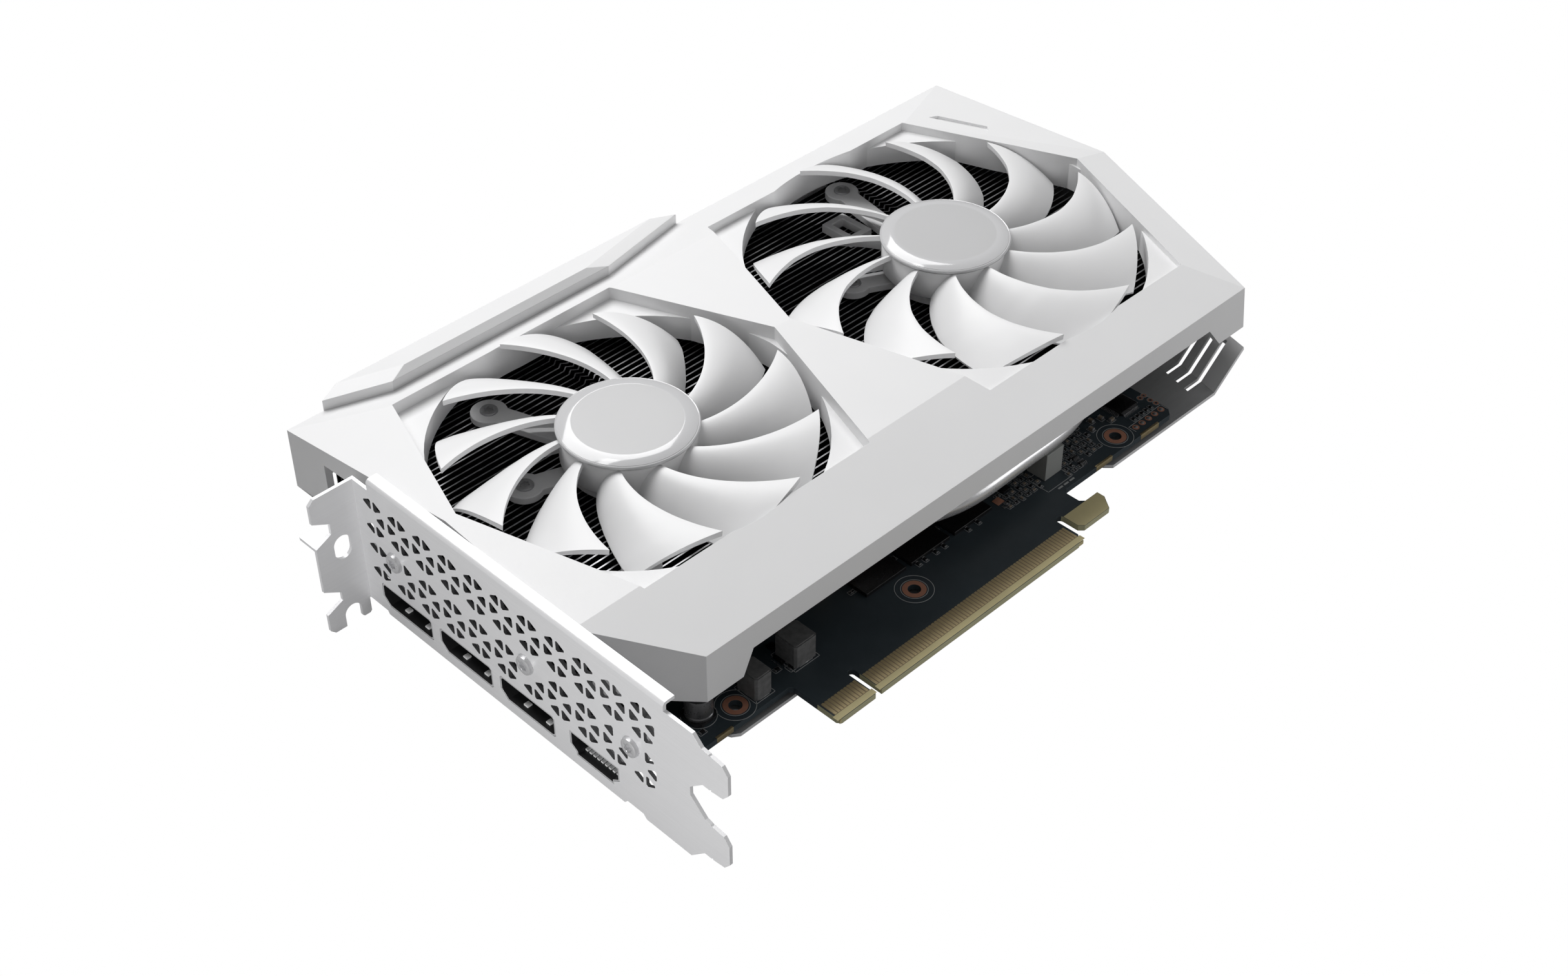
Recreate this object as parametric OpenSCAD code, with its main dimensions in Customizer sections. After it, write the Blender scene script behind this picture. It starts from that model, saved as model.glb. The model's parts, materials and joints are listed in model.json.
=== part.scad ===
/* [Circuit board] */
// Thickness of the circuit board
pcb_t = 1.6; // [1.2:0.1:2]
// Far end of the circuit board, measured from the key notch
pcb_end_x = 127.5; // [110:0.5:150]
// Height of the board's lower edge above the edge connector's tip
pcb_low_y = 15; // [12:0.5:18]
// Upper edge of the board
pcb_high_y = 122; // [100:1:126]
// Wall radius of the plated mounting holes
pcb_hole_r = 1.6; // [1.2:0.1:2]

/* [Bracket] */
// Outer face of the slot bracket
bracket_x = -58.94; // [-60:0.01:-58]
// Sheet thickness of the bracket
bracket_t = 0.86; // [0.7:0.02:1.2]
// Lower edge of the bracket plate
bracket_low_z = -4.9; // [-6:0.1:-4]
// Height of the bracket's folded lip
bracket_top_z = 35.3; // [34:0.1:36]
// Outer face of the mounting flange
flange_y = 109.5; // [108:0.1:111]
// Reach of the mounting flange
flange_reach = 11.96; // [11:0.02:13]

/* [Shroud] */
// Height of the crown line along the middle of the shroud
crown_z = 35.5; // [34:0.1:37]
// Height of the shoulder folds on each side of the crown
shoulder_z = 33.3; // [32:0.1:34]
// Height of the slot-side edge
low_edge_z = 26.6; // [24:0.1:28]
// Height of the far-side edge
high_edge_z = 30; // [28:0.1:32]
// Lower rim of the shroud
rim_z = 13.1; // [12:0.1:14]
// Wall thickness of the shroud
shroud_t = 2; // [1.6:0.1:2.4]
// Level of the recess floors around the fans
recess_z = 29.8; // [29:0.1:31]
// How much higher the recess floor is under the crown
recess_rise = 2; // [0:0.1:3]

/* [Fans] */
// Across-slot position of both fan axes
fan_y = 78.3; // [77:0.1:80]
// Position of the front fan's axis
front_fan_x = -2.6; // [-4:0.1:0]
// Position of the rear fan's axis
rear_fan_x = 107.4; // [106:0.1:109]
// Blade tip radius of the front fan
front_tip_r = 44.2; // [42:0.1:45.5]
// Blade tip radius of the rear fan
rear_tip_r = 49.5; // [47:0.1:50.5]
// Blades on each fan
blade_count = 11; // [7:1:13]
// Hub radius
hub_r = 16.4; // [15:0.1:17]
// Radius of the caps over the hubs
cap_r = 17; // [16:0.1:18]
// Height of the hub cap
cap_z = 35; // [34:0.1:35.4]

/* [Heatsink] */
// Distance from one fin to the next
fin_pitch = 1.9; // [1.6:0.1:2.4]
// Fin thickness
fin_t = 0.4; // [0.3:0.05:0.6]
// Lower edge of the fins
fin_low_z = 7.2; // [7:0.1:9]
// Upper edge of the fins
fin_top_z = 21.3; // [20:0.1:21.5]
// Heat pipe radius
pipe_r = 3; // [2.5:0.25:3.5]

/* [Hidden] */
$fn = 48;
eps = 0.01;

front_hub = [front_fan_x, fan_y];
rear_hub = [rear_fan_x, fan_y];
front_duct_r = 47.1;
rear_duct_r = 52.5;
crown_y = 79;
shoulder_half = 43.6;
tip_gap = 0.6;
far_edge_y = 136;
tail_flare = 2.4;

// Heights of the fan stack, shared by both fans
frame_z = 22;
frame_t = 2;
cup_z = 24.8;
shaft_r = 1.5;
bearing_r = 3;
running_gap = 0.04;

// Backplate: a flat sheet whose tail folds up to meet the shroud
plate_top_z = -3;
plate_t = 1;
fold_x = 145;
fold_slant = 0.28;
fold_rise = 9.2;
fold_run = 11;

// Outline of the board with its edge connector, key notch and retention hook
board_left = -48;
tab_left = -12.6;
tab_right = 72.6;
hook_end = 88.2;
board_holes = [[-25.5, 19.5], [30.3, 17], [108.7, 19.5]];

// Bracket features, as [across, height] on its plate
screw_spots = [[15.6, 15], [49.5, 15.1], [95.6, 15.1]];
display_spots = [41.3, 62.7, 84.2];
display_w = 18.7;
port_low_z = -1.9;
port_high_z = 4.5;
av_low_y = 20.3;
av_w = 16;
socket_depth = 17.8;
tongue_z = 2.8;

// The shroud's corner points, listed once and drawn at any inset
function shroud_top(inset, drop) = [
    [-57.6 + inset, far_edge_y - inset, high_edge_z - drop],
    [-55.2 + inset, crown_y, crown_z - drop],
    [-56.4 + inset, crown_y - shoulder_half, shoulder_z - drop],
    [-37.8 + inset * 0.5, pcb_low_y + inset, low_edge_z - drop],
    [152 - inset * 0.7, pcb_low_y + inset, low_edge_z - drop],
    [172.5 - inset, crown_y - 1.2, high_edge_z + 1 - drop],
    [168.4 - inset, far_edge_y - inset, high_edge_z - drop],
    [-36.6, crown_y + shoulder_half - 0.3, shoulder_z - drop],
    [143, 125.5, 32.4 - drop],
    [160.6, crown_y - 1.2, 34 - drop],
    [143, 29.2, 31.3 - drop],
    [120, crown_y, crown_z - drop],
    [120, crown_y + shoulder_half - 0.3, shoulder_z - drop],
    [120, crown_y - shoulder_half, shoulder_z - drop]];
function shroud_rim(inset, z) = [for (i = [0:6])
    let (p = shroud_top(inset, 0)[i]) [p[0] + (i > 3 ? tail_flare : 0), p[1], z]];

SHROUD_TOP_FACES = [[0, 7, 1], [7, 12, 11], [7, 11, 1], [1, 11, 13], [1, 13, 2],
    [2, 13, 10], [2, 10, 4], [2, 4, 3], [0, 6, 8], [0, 8, 12], [0, 12, 7], [8, 6, 5],
    [8, 5, 9], [9, 5, 4], [9, 4, 10], [12, 8, 11], [8, 9, 11], [11, 9, 10], [11, 10, 13]];

module shroud_solid(inset, drop, z) {
    walls = [for (i = [0:6]) let (j = (i + 1) % 7) each [[i, j, 14 + i], [j, 14 + j, 14 + i]]];
    polyhedron(concat(shroud_top(inset, drop), shroud_rim(inset, z)),
        concat(SHROUD_TOP_FACES, walls, [[14, 15, 16, 17, 18, 19, 20]]));
}

// Outlines of the two recesses around the fans
FRONT_HEX = [[-36.6, 122.9], [-52, 79.3], [-37.3, 34.4], [32.3, 34.4], [46.2, 79.3], [31, 122.9]];
REAR_HEX = [[68.2, 126.2], [51.5, 79.3], [68.5, 29.2], [143, 29.2], [160.6, 77.8], [143, 126.2]];

module hex_prism(outline, grow, low, high) {
    mid = (outline[1] + outline[4]) / 2;
    translate([0, 0, low]) linear_extrude(high - low)
        polygon([for (p = outline) mid + (p - mid) * grow]);
}

// The opening for a fan: it keeps inside the recess except where the blades sweep
module duct(hub, r, tip_r, outline) {
    intersection() {
        disc(hub, r, 0, 40);
        hex_prism(outline, 1, -1, 42);
    }
    disc(hub, tip_r + tip_gap, 0, 41);
}

// A recess whose floor rises towards the crown, as the top above it does
module recess(outline) {
    low_y = outline[2][1];
    high_y = outline[0][1];
    intersection() {
        hex_prism(outline, 1, recess_z - 1, 40);
        translate([-60, 0, 0]) rotate([90, 0, 90]) linear_extrude(240)
            polygon([[low_y - 2, recess_z - 0.1], [crown_y, recess_z + recess_rise],
                [high_y + 2, recess_z - 0.1], [high_y + 2, 41], [low_y - 2, 41]]);
    }
}

module disc(hub, r, low, high, sides = 96) {
    translate([hub[0], hub[1], low]) cylinder(h = high - low, r = r, $fn = sides);
}

// A closed tube swept along a list of points, with its rings square to the route
function unit(v) = v / norm(v);
function heading(path, i) = unit(path[min(i + 1, len(path) - 1)] - path[max(i - 1, 0)]);
function blend4(a, b, c, d, t) = 0.5 * ((2 * b) + (c - a) * t
    + (2 * a - 5 * b + 4 * c - d) * t * t + (3 * b - a - 3 * c + d) * t * t * t);
function smooth_path(p, steps) = concat([for (i = [0:len(p) - 2], k = [0:steps - 1])
    blend4(p[max(i - 1, 0)], p[i], p[i + 1], p[min(i + 2, len(p) - 1)], k / steps)],
    [p[len(p) - 1]]);

module tube(path, r, sides) {
    n = len(path);
    points = [for (i = [0:n - 1], k = [0:sides - 1])
        let (h = heading(path, i), side = unit(cross(h, [0, 0, 1])), up = cross(side, h))
        path[i] + r * cos(360 * k / sides) * side + r * sin(360 * k / sides) * up];
    skin = [for (i = [0:n - 2], k = [0:sides - 1])
        let (a = i * sides + k, b = i * sides + (k + 1) % sides)
        each [[a, b, b + sides], [a, b + sides, a + sides]]];
    polyhedron(points, concat(skin, [[for (k = [sides - 1:-1:0]) k]],
        [[for (k = [0:sides - 1]) (n - 1) * sides + k]]));
}

// ---- Circuit board and what is soldered to it ----

module board_outline() {
    difference() {
        polygon([[-39.8, pcb_low_y + 0.4], [-39.3, pcb_low_y], [tab_left - 0.8, pcb_low_y],
            [tab_left, pcb_low_y - 0.8],
            [tab_left, 1], [tab_left + 0.8, 0], [tab_right - 2.2, 0], [tab_right, 2.2],
            [tab_right, 8.6], [75, 8.6], [75, 4.2], [76.2, 3], [85.6, 3], [hook_end, 6.6],
            [hook_end, 8.9], [83.6, 8.9], [82.5, 10], [82.5, 13.8], [83.7, pcb_low_y],
            [pcb_end_x - 2, pcb_low_y], [pcb_end_x, pcb_low_y + 2],
            [pcb_end_x, pcb_high_y - 2], [pcb_end_x - 2, pcb_high_y], [-46, pcb_high_y],
            [board_left, pcb_high_y - 2], [board_left, 36.6], [-37.2, 36.6], [-37.2, 20.3],
            [-38.2, 19.9], [-40, 17]]);
        translate([0, 8.35]) circle(r = 0.95);
        translate([-0.95, -1]) square([1.9, 9.35]);
        translate([73.8, 8.6]) circle(r = 1.2);
        for (p = board_holes) translate(p) circle(r = pcb_hole_r);
        for (p = COOLER_HOLES) translate(p) circle(r = 1.7);
        // The display sockets sit in cut-outs
        for (y = display_spots) translate([board_left - 1, y - 0.1])
            square([bracket_x + socket_depth + 0.4 - board_left + 1, display_w + 0.2]);
    }
}

GPU_CENTRE = [42, 62];
COOLER_HOLES = [for (x = [-27, 27], y = [-27, 27]) GPU_CENTRE + [x, y]];

module pcb() {
    color([0.06, 0.08, 0.09]) translate([0, 0, -pcb_t]) linear_extrude(pcb_t) board_outline();
}

module edge_contacts() {
    contact_w = 0.7;
    contact_t = 0.04;
    color([0.72, 0.6, 0.32]) for (z = [0, -pcb_t - contact_t]) {
        for (x = [tab_left + 0.95:1:-1.5]) contact(x, contact_w, z, contact_t);
        for (x = [1.5:1:tab_right - 1]) contact(x, contact_w, z, contact_t);
        translate([76, 3.6, z]) cube([10, 4.8, contact_t]);
    }
}

module contact(x, w, z, t) {
    translate([x - w / 2, 1.9, z]) cube([w, 4.4, t]);
}

module board_hole_rings() {
    ring_r = 2.9;
    color([0.6, 0.32, 0.22]) for (p = board_holes) translate([p[0], p[1], 0]) difference() {
        cylinder(h = 0.05, r = ring_r);
        translate([0, 0, -1]) cylinder(h = 3, r = pcb_hole_r);
    }
}

module gpu_package() {
    side = 37.5;
    color([0.1, 0.25, 0.14]) translate([GPU_CENTRE[0] - side / 2, GPU_CENTRE[1] - side / 2, 0])
        cube([side, side, 1.8]);
}

module gpu_die() {
    color([0.35, 0.36, 0.4]) translate([GPU_CENTRE[0] - 10, GPU_CENTRE[1] - 10, 1.8])
        cube([20, 20, 0.8]);
}

MEMORY_SPOTS = [[20.2, 22.8], [35.6, 22.8], [51, 22.8], [20.2, 90], [35.6, 90], [51, 90],
    [69, 46], [69, 64]];
memory_size = [13.6, 11.6, 1.1];

module memory_chips() {
    color([0.04, 0.04, 0.04]) for (p = MEMORY_SPOTS) translate([p[0], p[1], 0])
        cube(memory_size);
}

module thermal_pads() {
    color([0.5, 0.6, 0.7]) {
        for (i = [3:5]) translate([MEMORY_SPOTS[i][0] + 1, MEMORY_SPOTS[i][1] + 1, memory_size[2]])
            cube([memory_size[0] - 2, 5, fin_low_z - memory_size[2]]);
        for (i = [0:1]) translate([70, MEMORY_SPOTS[6 + i][1] + 1, memory_size[2]])
            cube([3.5, memory_size[1] - 2, fin_low_z - memory_size[2]]);
    }
}

module chokes() {
    size = 6.6;
    color([0.28, 0.28, 0.29]) {
        translate([-19.2, 20, 0]) cube([5.2, 6.6, 6.9]);
        translate([-5, 21.2, 0]) cube([7, 7, 6.9]);
        for (y = [40:10:90]) translate([-20, y, 0]) cube([size, size, 6.9]);
        for (y = [50:10:90]) translate([96, y, 0]) cube([size, size, 6.9]);
    }
}

module mosfets() {
    color([0.08, 0.08, 0.08]) {
        for (y = [40:10:90]) translate([-11, y, 0]) cube([5, 6, 0.9]);
        for (y = [50:10:90]) translate([105, y, 0]) cube([5, 6, 0.9]);
    }
}

module tall_capacitors() {
    color([0.7, 0.7, 0.72]) {
        translate([-33.3, 23, 0]) cylinder(h = 6.8, r = 3.3);
        for (y = [42:10:92]) translate([-29, y, 0]) cylinder(h = 6.5, r = 2.7);
        for (y = [52:10:92]) translate([90, y, 0]) cylinder(h = 6.5, r = 2.7);
    }
}

module small_capacitors() {
    color([0.5, 0.42, 0.33]) {
        for (x = [37.3, 39.6, 43.4, 46.5, 55, 58.7]) translate([x - 0.8, 21.8, 0])
            cube([1.6, 0.8, 0.5]);
        for (x = [70:3:79], y = [21, 24]) translate([x, y, 0]) cube([1.6, 0.8, 0.5]);
        for (x = [90:3:102], y = [19.5, 23.5]) translate([x, y, 0]) cube([1.6, 0.8, 0.5]);
    }
}

module controller_chips() {
    color([0.05, 0.05, 0.06]) {
        translate([115.5, 22.6, 0]) cube([7.4, 8, 1]);
        translate([-8.6, 18.2, 0]) cube([2.6, 1.6, 0.8]);
        translate([-7.8, 25.6, 0]) cube([2, 2, 0.7]);
        translate([76, 100, 0]) cube([6, 5, 1.4]);
    }
}

module lamp_connector() {
    tall = 8.1;
    color([0.75, 0.76, 0.75]) translate([82.2, 20.6, 0]) difference() {
        cube([6.4, 6, tall]);
        translate([0.8, 1.4, 1]) cube([4.8, 3.8, tall]);
    }
}

module fan_headers() {
    color([0.85, 0.85, 0.82]) for (x = [-40, 84]) translate([x, 110, 0]) difference() {
        cube([9, 4.4, 4]);
        translate([0.7, 0.7, 0.8]) cube([7.6, 3, 4]);
    }
}

inlet_x = 98;
inlet_w = 18.6;
inlet_h = 9.8;
inlet_front_y = pcb_high_y + 1.5;

module inlet_grid() {
    for (i = [0:3], k = [0:1]) translate([inlet_x + 1.1 + 4.2 * i, 0, 0.7 + 4.4 * k]) children();
}

module power_inlet() {
    color([0.07, 0.07, 0.07]) difference() {
        translate([inlet_x, inlet_front_y - 13, 0]) cube([inlet_w, 13, inlet_h]);
        inlet_grid() translate([0, inlet_front_y - 11, 0]) cube([3.7, 12, 3.7]);
    }
}

module power_pins() {
    color([0.8, 0.7, 0.45]) inlet_grid() translate([1.35, inlet_front_y - 12, 1.35])
        cube([1, 9, 1]);
}

// ---- Bracket and display sockets ----

// Puts a drawing in [across, height] onto the bracket plate
module on_bracket(x, depth) {
    translate([x, 0, 0]) rotate([90, 0, 90]) linear_extrude(depth) children();
}

// A vent hole: a small triangle with blunt corners, its apex towards side
module vent(side) {
    scale([side, 1]) polygon([[1.45, -0.25], [1.45, 0.25], [-0.75, 1.5], [-1.25, 1.2],
        [-1.25, -1.2], [-0.75, -1.5]]);
}

module vent_rows() {
    pitch = 9;
    for (k = [0:10], z = [28.3, 21]) {
        translate([10.2 + pitch * k, z]) vent(-1);
        translate([13.6 + pitch * k, z]) vent(1);
    }
    for (k = [0:10], z = [15, 7.7]) {
        if (clear_of_screws([10.2 + pitch * k, z])) translate([10.2 + pitch * k, z]) vent(-1);
        if (clear_of_screws([13.6 + pitch * k, z])) translate([13.6 + pitch * k, z]) vent(1);
    }
    for (k = [0:10], z = [24.7, 11.3]) {
        if (clear_of_screws([9.3 + pitch * k, z])) translate([9.3 + pitch * k, z]) vent(1);
        if (k < 10 && clear_of_screws([14.4 + pitch * k, z]))
            translate([14.4 + pitch * k, z]) vent(-1);
    }
}

function clear_of_screws(p) = min([for (s = screw_spots) norm(p - s)]) > 4.2;

module plate_outline() {
    polygon([[flange_y, -4], [102, -4], [101.5, bracket_low_z], [19, bracket_low_z],
        [18, -3.8], [13, -3.8], [12, bracket_low_z], [-1.8, bracket_low_z], [-6, -0.8],
        [-8, -0.8], [-8.5, -0.4], [-8.5, 9.1], [-8, 9.5], [-6.5, 9.9], [-2.2, 14],
        [-2.2, 16.5], [-6, 20], [-8, 20], [-8.5, 20.4], [-8.5, 29.8], [-8, 30.2],
        [-6, 30.5], [-3.5, 33], [5, 33], [5, 34.3], [103, 34.3], [103, 32.2], [flange_y, 32.2]]);
}

// Socket mouths as [across, height], drawn about their centres so that a shell
// can be the same shape a little smaller
DISPLAY_MOUTH = [[-9.35, -2.6], [-8.75, -3.2], [7.15, -3.2], [9.35, -1], [9.35, 2.6],
    [8.75, 3.2], [-8.75, 3.2], [-9.35, 2.6]];
AV_MOUTH = [[-8, -0.8], [-6, -2.3], [-6, -3.2], [6, -3.2], [6, -2.3], [8, -0.8], [8, 3.2],
    [-8, 3.2]];
port_mid_z = (port_low_z + port_high_z) / 2;

module mouth(outline, mid_y, smaller) {
    half = [max([for (p = outline) p[0]]), max([for (p = outline) p[1]])];
    translate([mid_y, port_mid_z]) polygon([for (p = outline)
        [p[0] * (1 - smaller / half[0]), p[1] * (1 - smaller / half[1])]]);
}

module io_bracket() {
    bend_r = 1.2;
    lip_end = -55.7;
    color([0.72, 0.72, 0.73]) {
        difference() {
            on_bracket(bracket_x, bracket_t) difference() {
                plate_outline();
                vent_rows();
                for (y = display_spots) mouth(DISPLAY_MOUTH, y + display_w / 2, 0);
                mouth(AV_MOUTH, av_low_y + av_w / 2, 0);
                for (s = screw_spots) translate(s) circle(r = 1.6);
            }
        }
        // Folded lip along the fan side, with a round bend
        translate([0, 103, 0]) rotate([90, 0, 0]) linear_extrude(98) {
            translate([bracket_x + bend_r, bracket_top_z - bend_r]) intersection() {
                difference() {
                    circle(r = bend_r);
                    circle(r = bend_r - bracket_t);
                }
                translate([-bend_r, 0]) square(bend_r);
            }
            translate([bracket_x, 34]) square([bracket_t, bracket_top_z - bend_r - 34]);
            translate([bracket_x + bend_r, bracket_top_z - bracket_t])
                square([lip_end - bracket_x - bend_r, bracket_t]);
        }
        // Tongues that drop into the chassis slots
        for (z = [-0.8, 20]) translate([bracket_x, -13.5, z]) tongue();
        flange();
    }
}

module tongue() {
    rotate([90, 0, 90]) linear_extrude(bracket_t)
        polygon([[0, 2.4], [1.6, 0.4], [5, 0], [5, 10.2], [1.6, 9.8], [0, 7.8]]);
}

// Flange that the chassis screws clamp, with two screw notches, an oval hole,
// a slot that opens downwards and a small folded tab
module flange() {
    edge_x = bracket_x - flange_reach;
    notch_x = -66.4;
    translate([0, flange_y, 0]) rotate([90, 0, 0]) linear_extrude(bracket_t) difference() {
        polygon([[bracket_x + bracket_t, -4], [bracket_x + bracket_t, 32.2], [-69.4, 32.2],
            [edge_x, 30.8], [edge_x, 25.6], [notch_x, 23.2], [notch_x, 20.2], [edge_x, 18],
            [edge_x, 5], [notch_x, 2.3], [notch_x, -0.2], [edge_x, -2.3], [edge_x, -7.2],
            [-69.6, -8.5], [notch_x, -8.5], [notch_x, -5.3], [-61.8, -5.3], [-61.8, -8],
            [-61.3, -8.5], [-59.7, -8.5], [-59.2, -8], [-59.2, -4]]);
        translate([-64.1, -5.3]) circle(r = 2.3);
        for (z = [13.8, 15.9]) translate([-64, z]) circle(r = 2.3);
        translate([-66.3, 13.8]) square([4.6, 2.1]);
    }
    translate([edge_x, flange_y - eps, 17.2]) cube([4.4, 5.7, bracket_t]);
}

module bracket_screws() {
    head_r = 2.2;
    head_t = 1.3;
    color([0.8, 0.8, 0.82]) for (s = screw_spots) translate([bracket_x - head_t, s[0], s[1]])
        rotate([0, 90, 0]) difference() {
            union() {
                cylinder(h = head_t, r = head_r);
                cylinder(h = head_t + bracket_t + 3, r = 1.5);
            }
            for (a = [0, 60, 120]) rotate(a) translate([-1.15, -0.3, -1]) cube([2.3, 0.6, 1.9]);
        }
}

// A socket shell: a thin-walled tube with its mouth at the bracket and a closed back
module socket_shell(outline, mid_y) {
    gap = 0.1;
    wall = 0.5;
    difference() {
        on_bracket(bracket_x + 0.05, socket_depth) mouth(outline, mid_y, gap);
        on_bracket(bracket_x - 1, socket_depth + 1.05 - wall) mouth(outline, mid_y, wall);
    }
}

module av_socket_shell() {
    color([0.8, 0.8, 0.8]) socket_shell(AV_MOUTH, av_low_y + av_w / 2);
}

module av_socket_tongue() {
    color([0.1, 0.1, 0.1]) translate([bracket_x + 1.5, av_low_y + 2, tongue_z])
        cube([socket_depth - 1.95, av_w - 4, 0.7]);
}

module display_socket_shells() {
    color([0.78, 0.78, 0.78]) for (y = display_spots)
        socket_shell(DISPLAY_MOUTH, y + display_w / 2);
}

module display_socket_tongues() {
    color([0.05, 0.05, 0.05]) for (y = display_spots)
        translate([bracket_x + 1.5, y + 2.2, tongue_z])
            cube([socket_depth - 1.95, display_w - 4.4, 0.7]);
}

// ---- Cooler ----

module fin_comb(low_y, high_y) {
    foot = 0.6;
    count = floor((high_y - low_y) / fin_pitch);
    polygon(concat([[low_y, fin_low_z]], [for (i = [0:count]) let (y = low_y + i * fin_pitch)
        each [[y, fin_low_z + (i == 0 ? 0 : foot)], [y, fin_top_z], [y + fin_t, fin_top_z],
        [y + fin_t, fin_low_z + (i == count ? 0 : foot)]]]));
}

// Fins run lengthwise; folded clips across their tops tie them into one stack
module fin_stack(low_x, high_x, clips) {
    clip_w = 1.2;
    clip_t = 0.3;
    low_y = 25.5;
    high_y = 131;
    difference() {
        union() {
            translate([low_x, 0, 0]) rotate([90, 0, 90]) linear_extrude(high_x - low_x)
                fin_comb(low_y, high_y);
            for (x = clips) translate([x, low_y, fin_top_z - clip_t])
                cube([clip_w, high_y - low_y - fin_pitch / 2, clip_t]);
        }
        for (y = PIPE_ROWS) translate([low_x - 1, y - pipe_r - 0.2, fin_low_z + 0.6])
            cube([high_x - low_x + 2, 2 * pipe_r + 0.4, 2 * pipe_r + 0.4]);
        // Room for the bent pipe along the slot side, and for the power inlet
        translate([18, low_y - 1, fin_low_z - 1]) cube([102, 13, 9.4]);
        translate([inlet_x - 2, 108, fin_low_z - 1]) cube([inlet_w + 4, 30, 4.4]);
    }
}

PIPE_ROWS = [50, 59, 68, 77];
pipe_z = fin_low_z + 0.8 + pipe_r;

module front_fin_stack() {
    color([0.12, 0.12, 0.13]) intersection() {
        fin_stack(-50, 58, [-40, 10, 50]);
        linear_extrude(40) polygon([[-50, 32], [-38.5, 20], [59, 20], [59, 134], [-50, 134]]);
    }
}

module rear_fin_stack() {
    color([0.12, 0.12, 0.13]) intersection() {
        fin_stack(62, 166, [66, 85, 120, 148]);
        linear_extrude(40) polygon([[61, 20], [150, 20], [166, 76], [162, 134], [61, 134]]);
    }
}

SIDE_PIPE = [[24, 33, 9], [33, 31, 9.6], [44, 25.6, 10.4], [55, 22.5, 11], [72, 22.3, 11.4],
    [90, 23, 11.6], [104, 27, 11.6], [116, 33.4, 11.4]];

module heat_pipes() {
    color([0.82, 0.82, 0.82]) {
        for (y = PIPE_ROWS) translate([-45, y, pipe_z]) rotate([0, 90, 0]) {
            cylinder(h = 196, r = pipe_r);
            sphere(r = pipe_r, $fn = 24);
        }
        tube(smooth_path(SIDE_PIPE, 4), pipe_r, 12);
    }
}

module cold_plate() {
    plate_half = [26, 24];
    color([0.75, 0.5, 0.35]) difference() {
        translate([GPU_CENTRE[0] - plate_half[0], GPU_CENTRE[1] - plate_half[1], 2.6])
            cube([2 * plate_half[0], 2 * plate_half[1], fin_low_z - 2.6]);
    }
}

module heatsink_standoffs() {
    color([0.7, 0.6, 0.35]) for (p = COOLER_HOLES) translate([p[0], p[1], 0]) difference() {
        cylinder(h = fin_low_z, r = 3, $fn = 48);
        translate([0, 0, -1]) cylinder(h = 6, r = 1.25);
    }
}

module retention_screws() {
    head_r = 2.6;
    color([0.65, 0.65, 0.67]) for (p = COOLER_HOLES) translate([p[0], p[1], 0]) {
        translate([0, 0, plate_top_z - 2]) cylinder(h = -plate_top_z + 6, r = 1.25);
        translate([0, 0, plate_top_z - 2.4]) cylinder(h = 1, r = head_r);
    }
}

// Small angle pieces from the bracket screws to the first fins
module bracket_mounts() {
    arm = 5;
    inner_x = bracket_x + bracket_t;
    fin_end = -50.05;
    color([0.2, 0.2, 0.21]) difference() {
        for (s = mount_spots()) translate([inner_x, s[0] - arm / 2, s[1] - arm / 2]) {
            cube([fin_end - inner_x, arm, arm]);
        }
        for (s = screw_spots) translate([inner_x - 1, s[0], s[1]]) rotate([0, 90, 0])
            cylinder(h = 6, r = 1.5);
    }
}
function mount_spots() = [screw_spots[1], screw_spots[2]];

module retention_springs() {
    color([0.8, 0.8, 0.8]) for (p = COOLER_HOLES) translate([p[0], p[1], plate_top_z - plate_t + 0.1])
        difference() {
            cylinder(h = -plate_top_z + plate_t - pcb_t - 0.2, r = 2.3);
            translate([0, 0, -1]) cylinder(h = 6, r = 1.6);
        }
}

// ---- Shroud, side light bar and backplate ----

module shroud() {
    front_cut_y = 33;
    front_cut_rise = 15.5;
    wall_r = 1.8;
    color([0.93, 0.93, 0.93]) difference() {
        shroud_solid(0, 0, rim_z);
        difference() {
            shroud_solid(shroud_t, shroud_t, rim_z - 1);
            hex_prism(FRONT_HEX, 1.045, recess_z - shroud_t, 40);
            hex_prism(REAR_HEX, 1.04, recess_z - shroud_t, 40);
            disc(front_hub, front_duct_r + wall_r, 24, 40);
            disc(rear_hub, rear_duct_r + wall_r, 24, 40);
        }
        recess(FRONT_HEX);
        recess(REAR_HEX);
        duct(front_hub, front_duct_r, front_tip_r, FRONT_HEX);
        duct(rear_hub, rear_duct_r, rear_tip_r, REAR_HEX);
        // The slot-side wall is cut back between its two legs
        translate([0, pcb_low_y + 5, 0]) rotate([90, 0, 0]) linear_extrude(8)
            polygon([[-28, rim_z - 2], [-24, 19.7], [138.5, 19.7], [145.5, rim_z - 2]]);
        // The front wall is cut back over the bracket's screws
        translate([bracket_x, front_cut_y, rim_z - 2]) cube([7, 123 - front_cut_y, front_cut_rise]);
        // Groove in the tail facet
        translate([0, 0, 30.6]) linear_extrude(10)
            polygon([[151.2, 123.5], [153.8, 122.5], [159.6, 109], [158, 107]]);
    }
}

bar_out_y = 138;
function bar_points() = [
    [-47.2, far_edge_y, 29], [-32.2, 128.2, 30], [35.7, 128.2, 30], [66, far_edge_y, 29],
    [58.5, bar_out_y, 29], [-41.6, bar_out_y, 29],
    [-47.2, far_edge_y, 32.9], [-32.2, 128.2, 34.8], [35.7, 128.2, 34.8], [66, far_edge_y, 32.9],
    [58.5, bar_out_y, 34], [-41.6, bar_out_y, 34], [-27, 130.3, 36], [30, 130.3, 36]];

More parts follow.
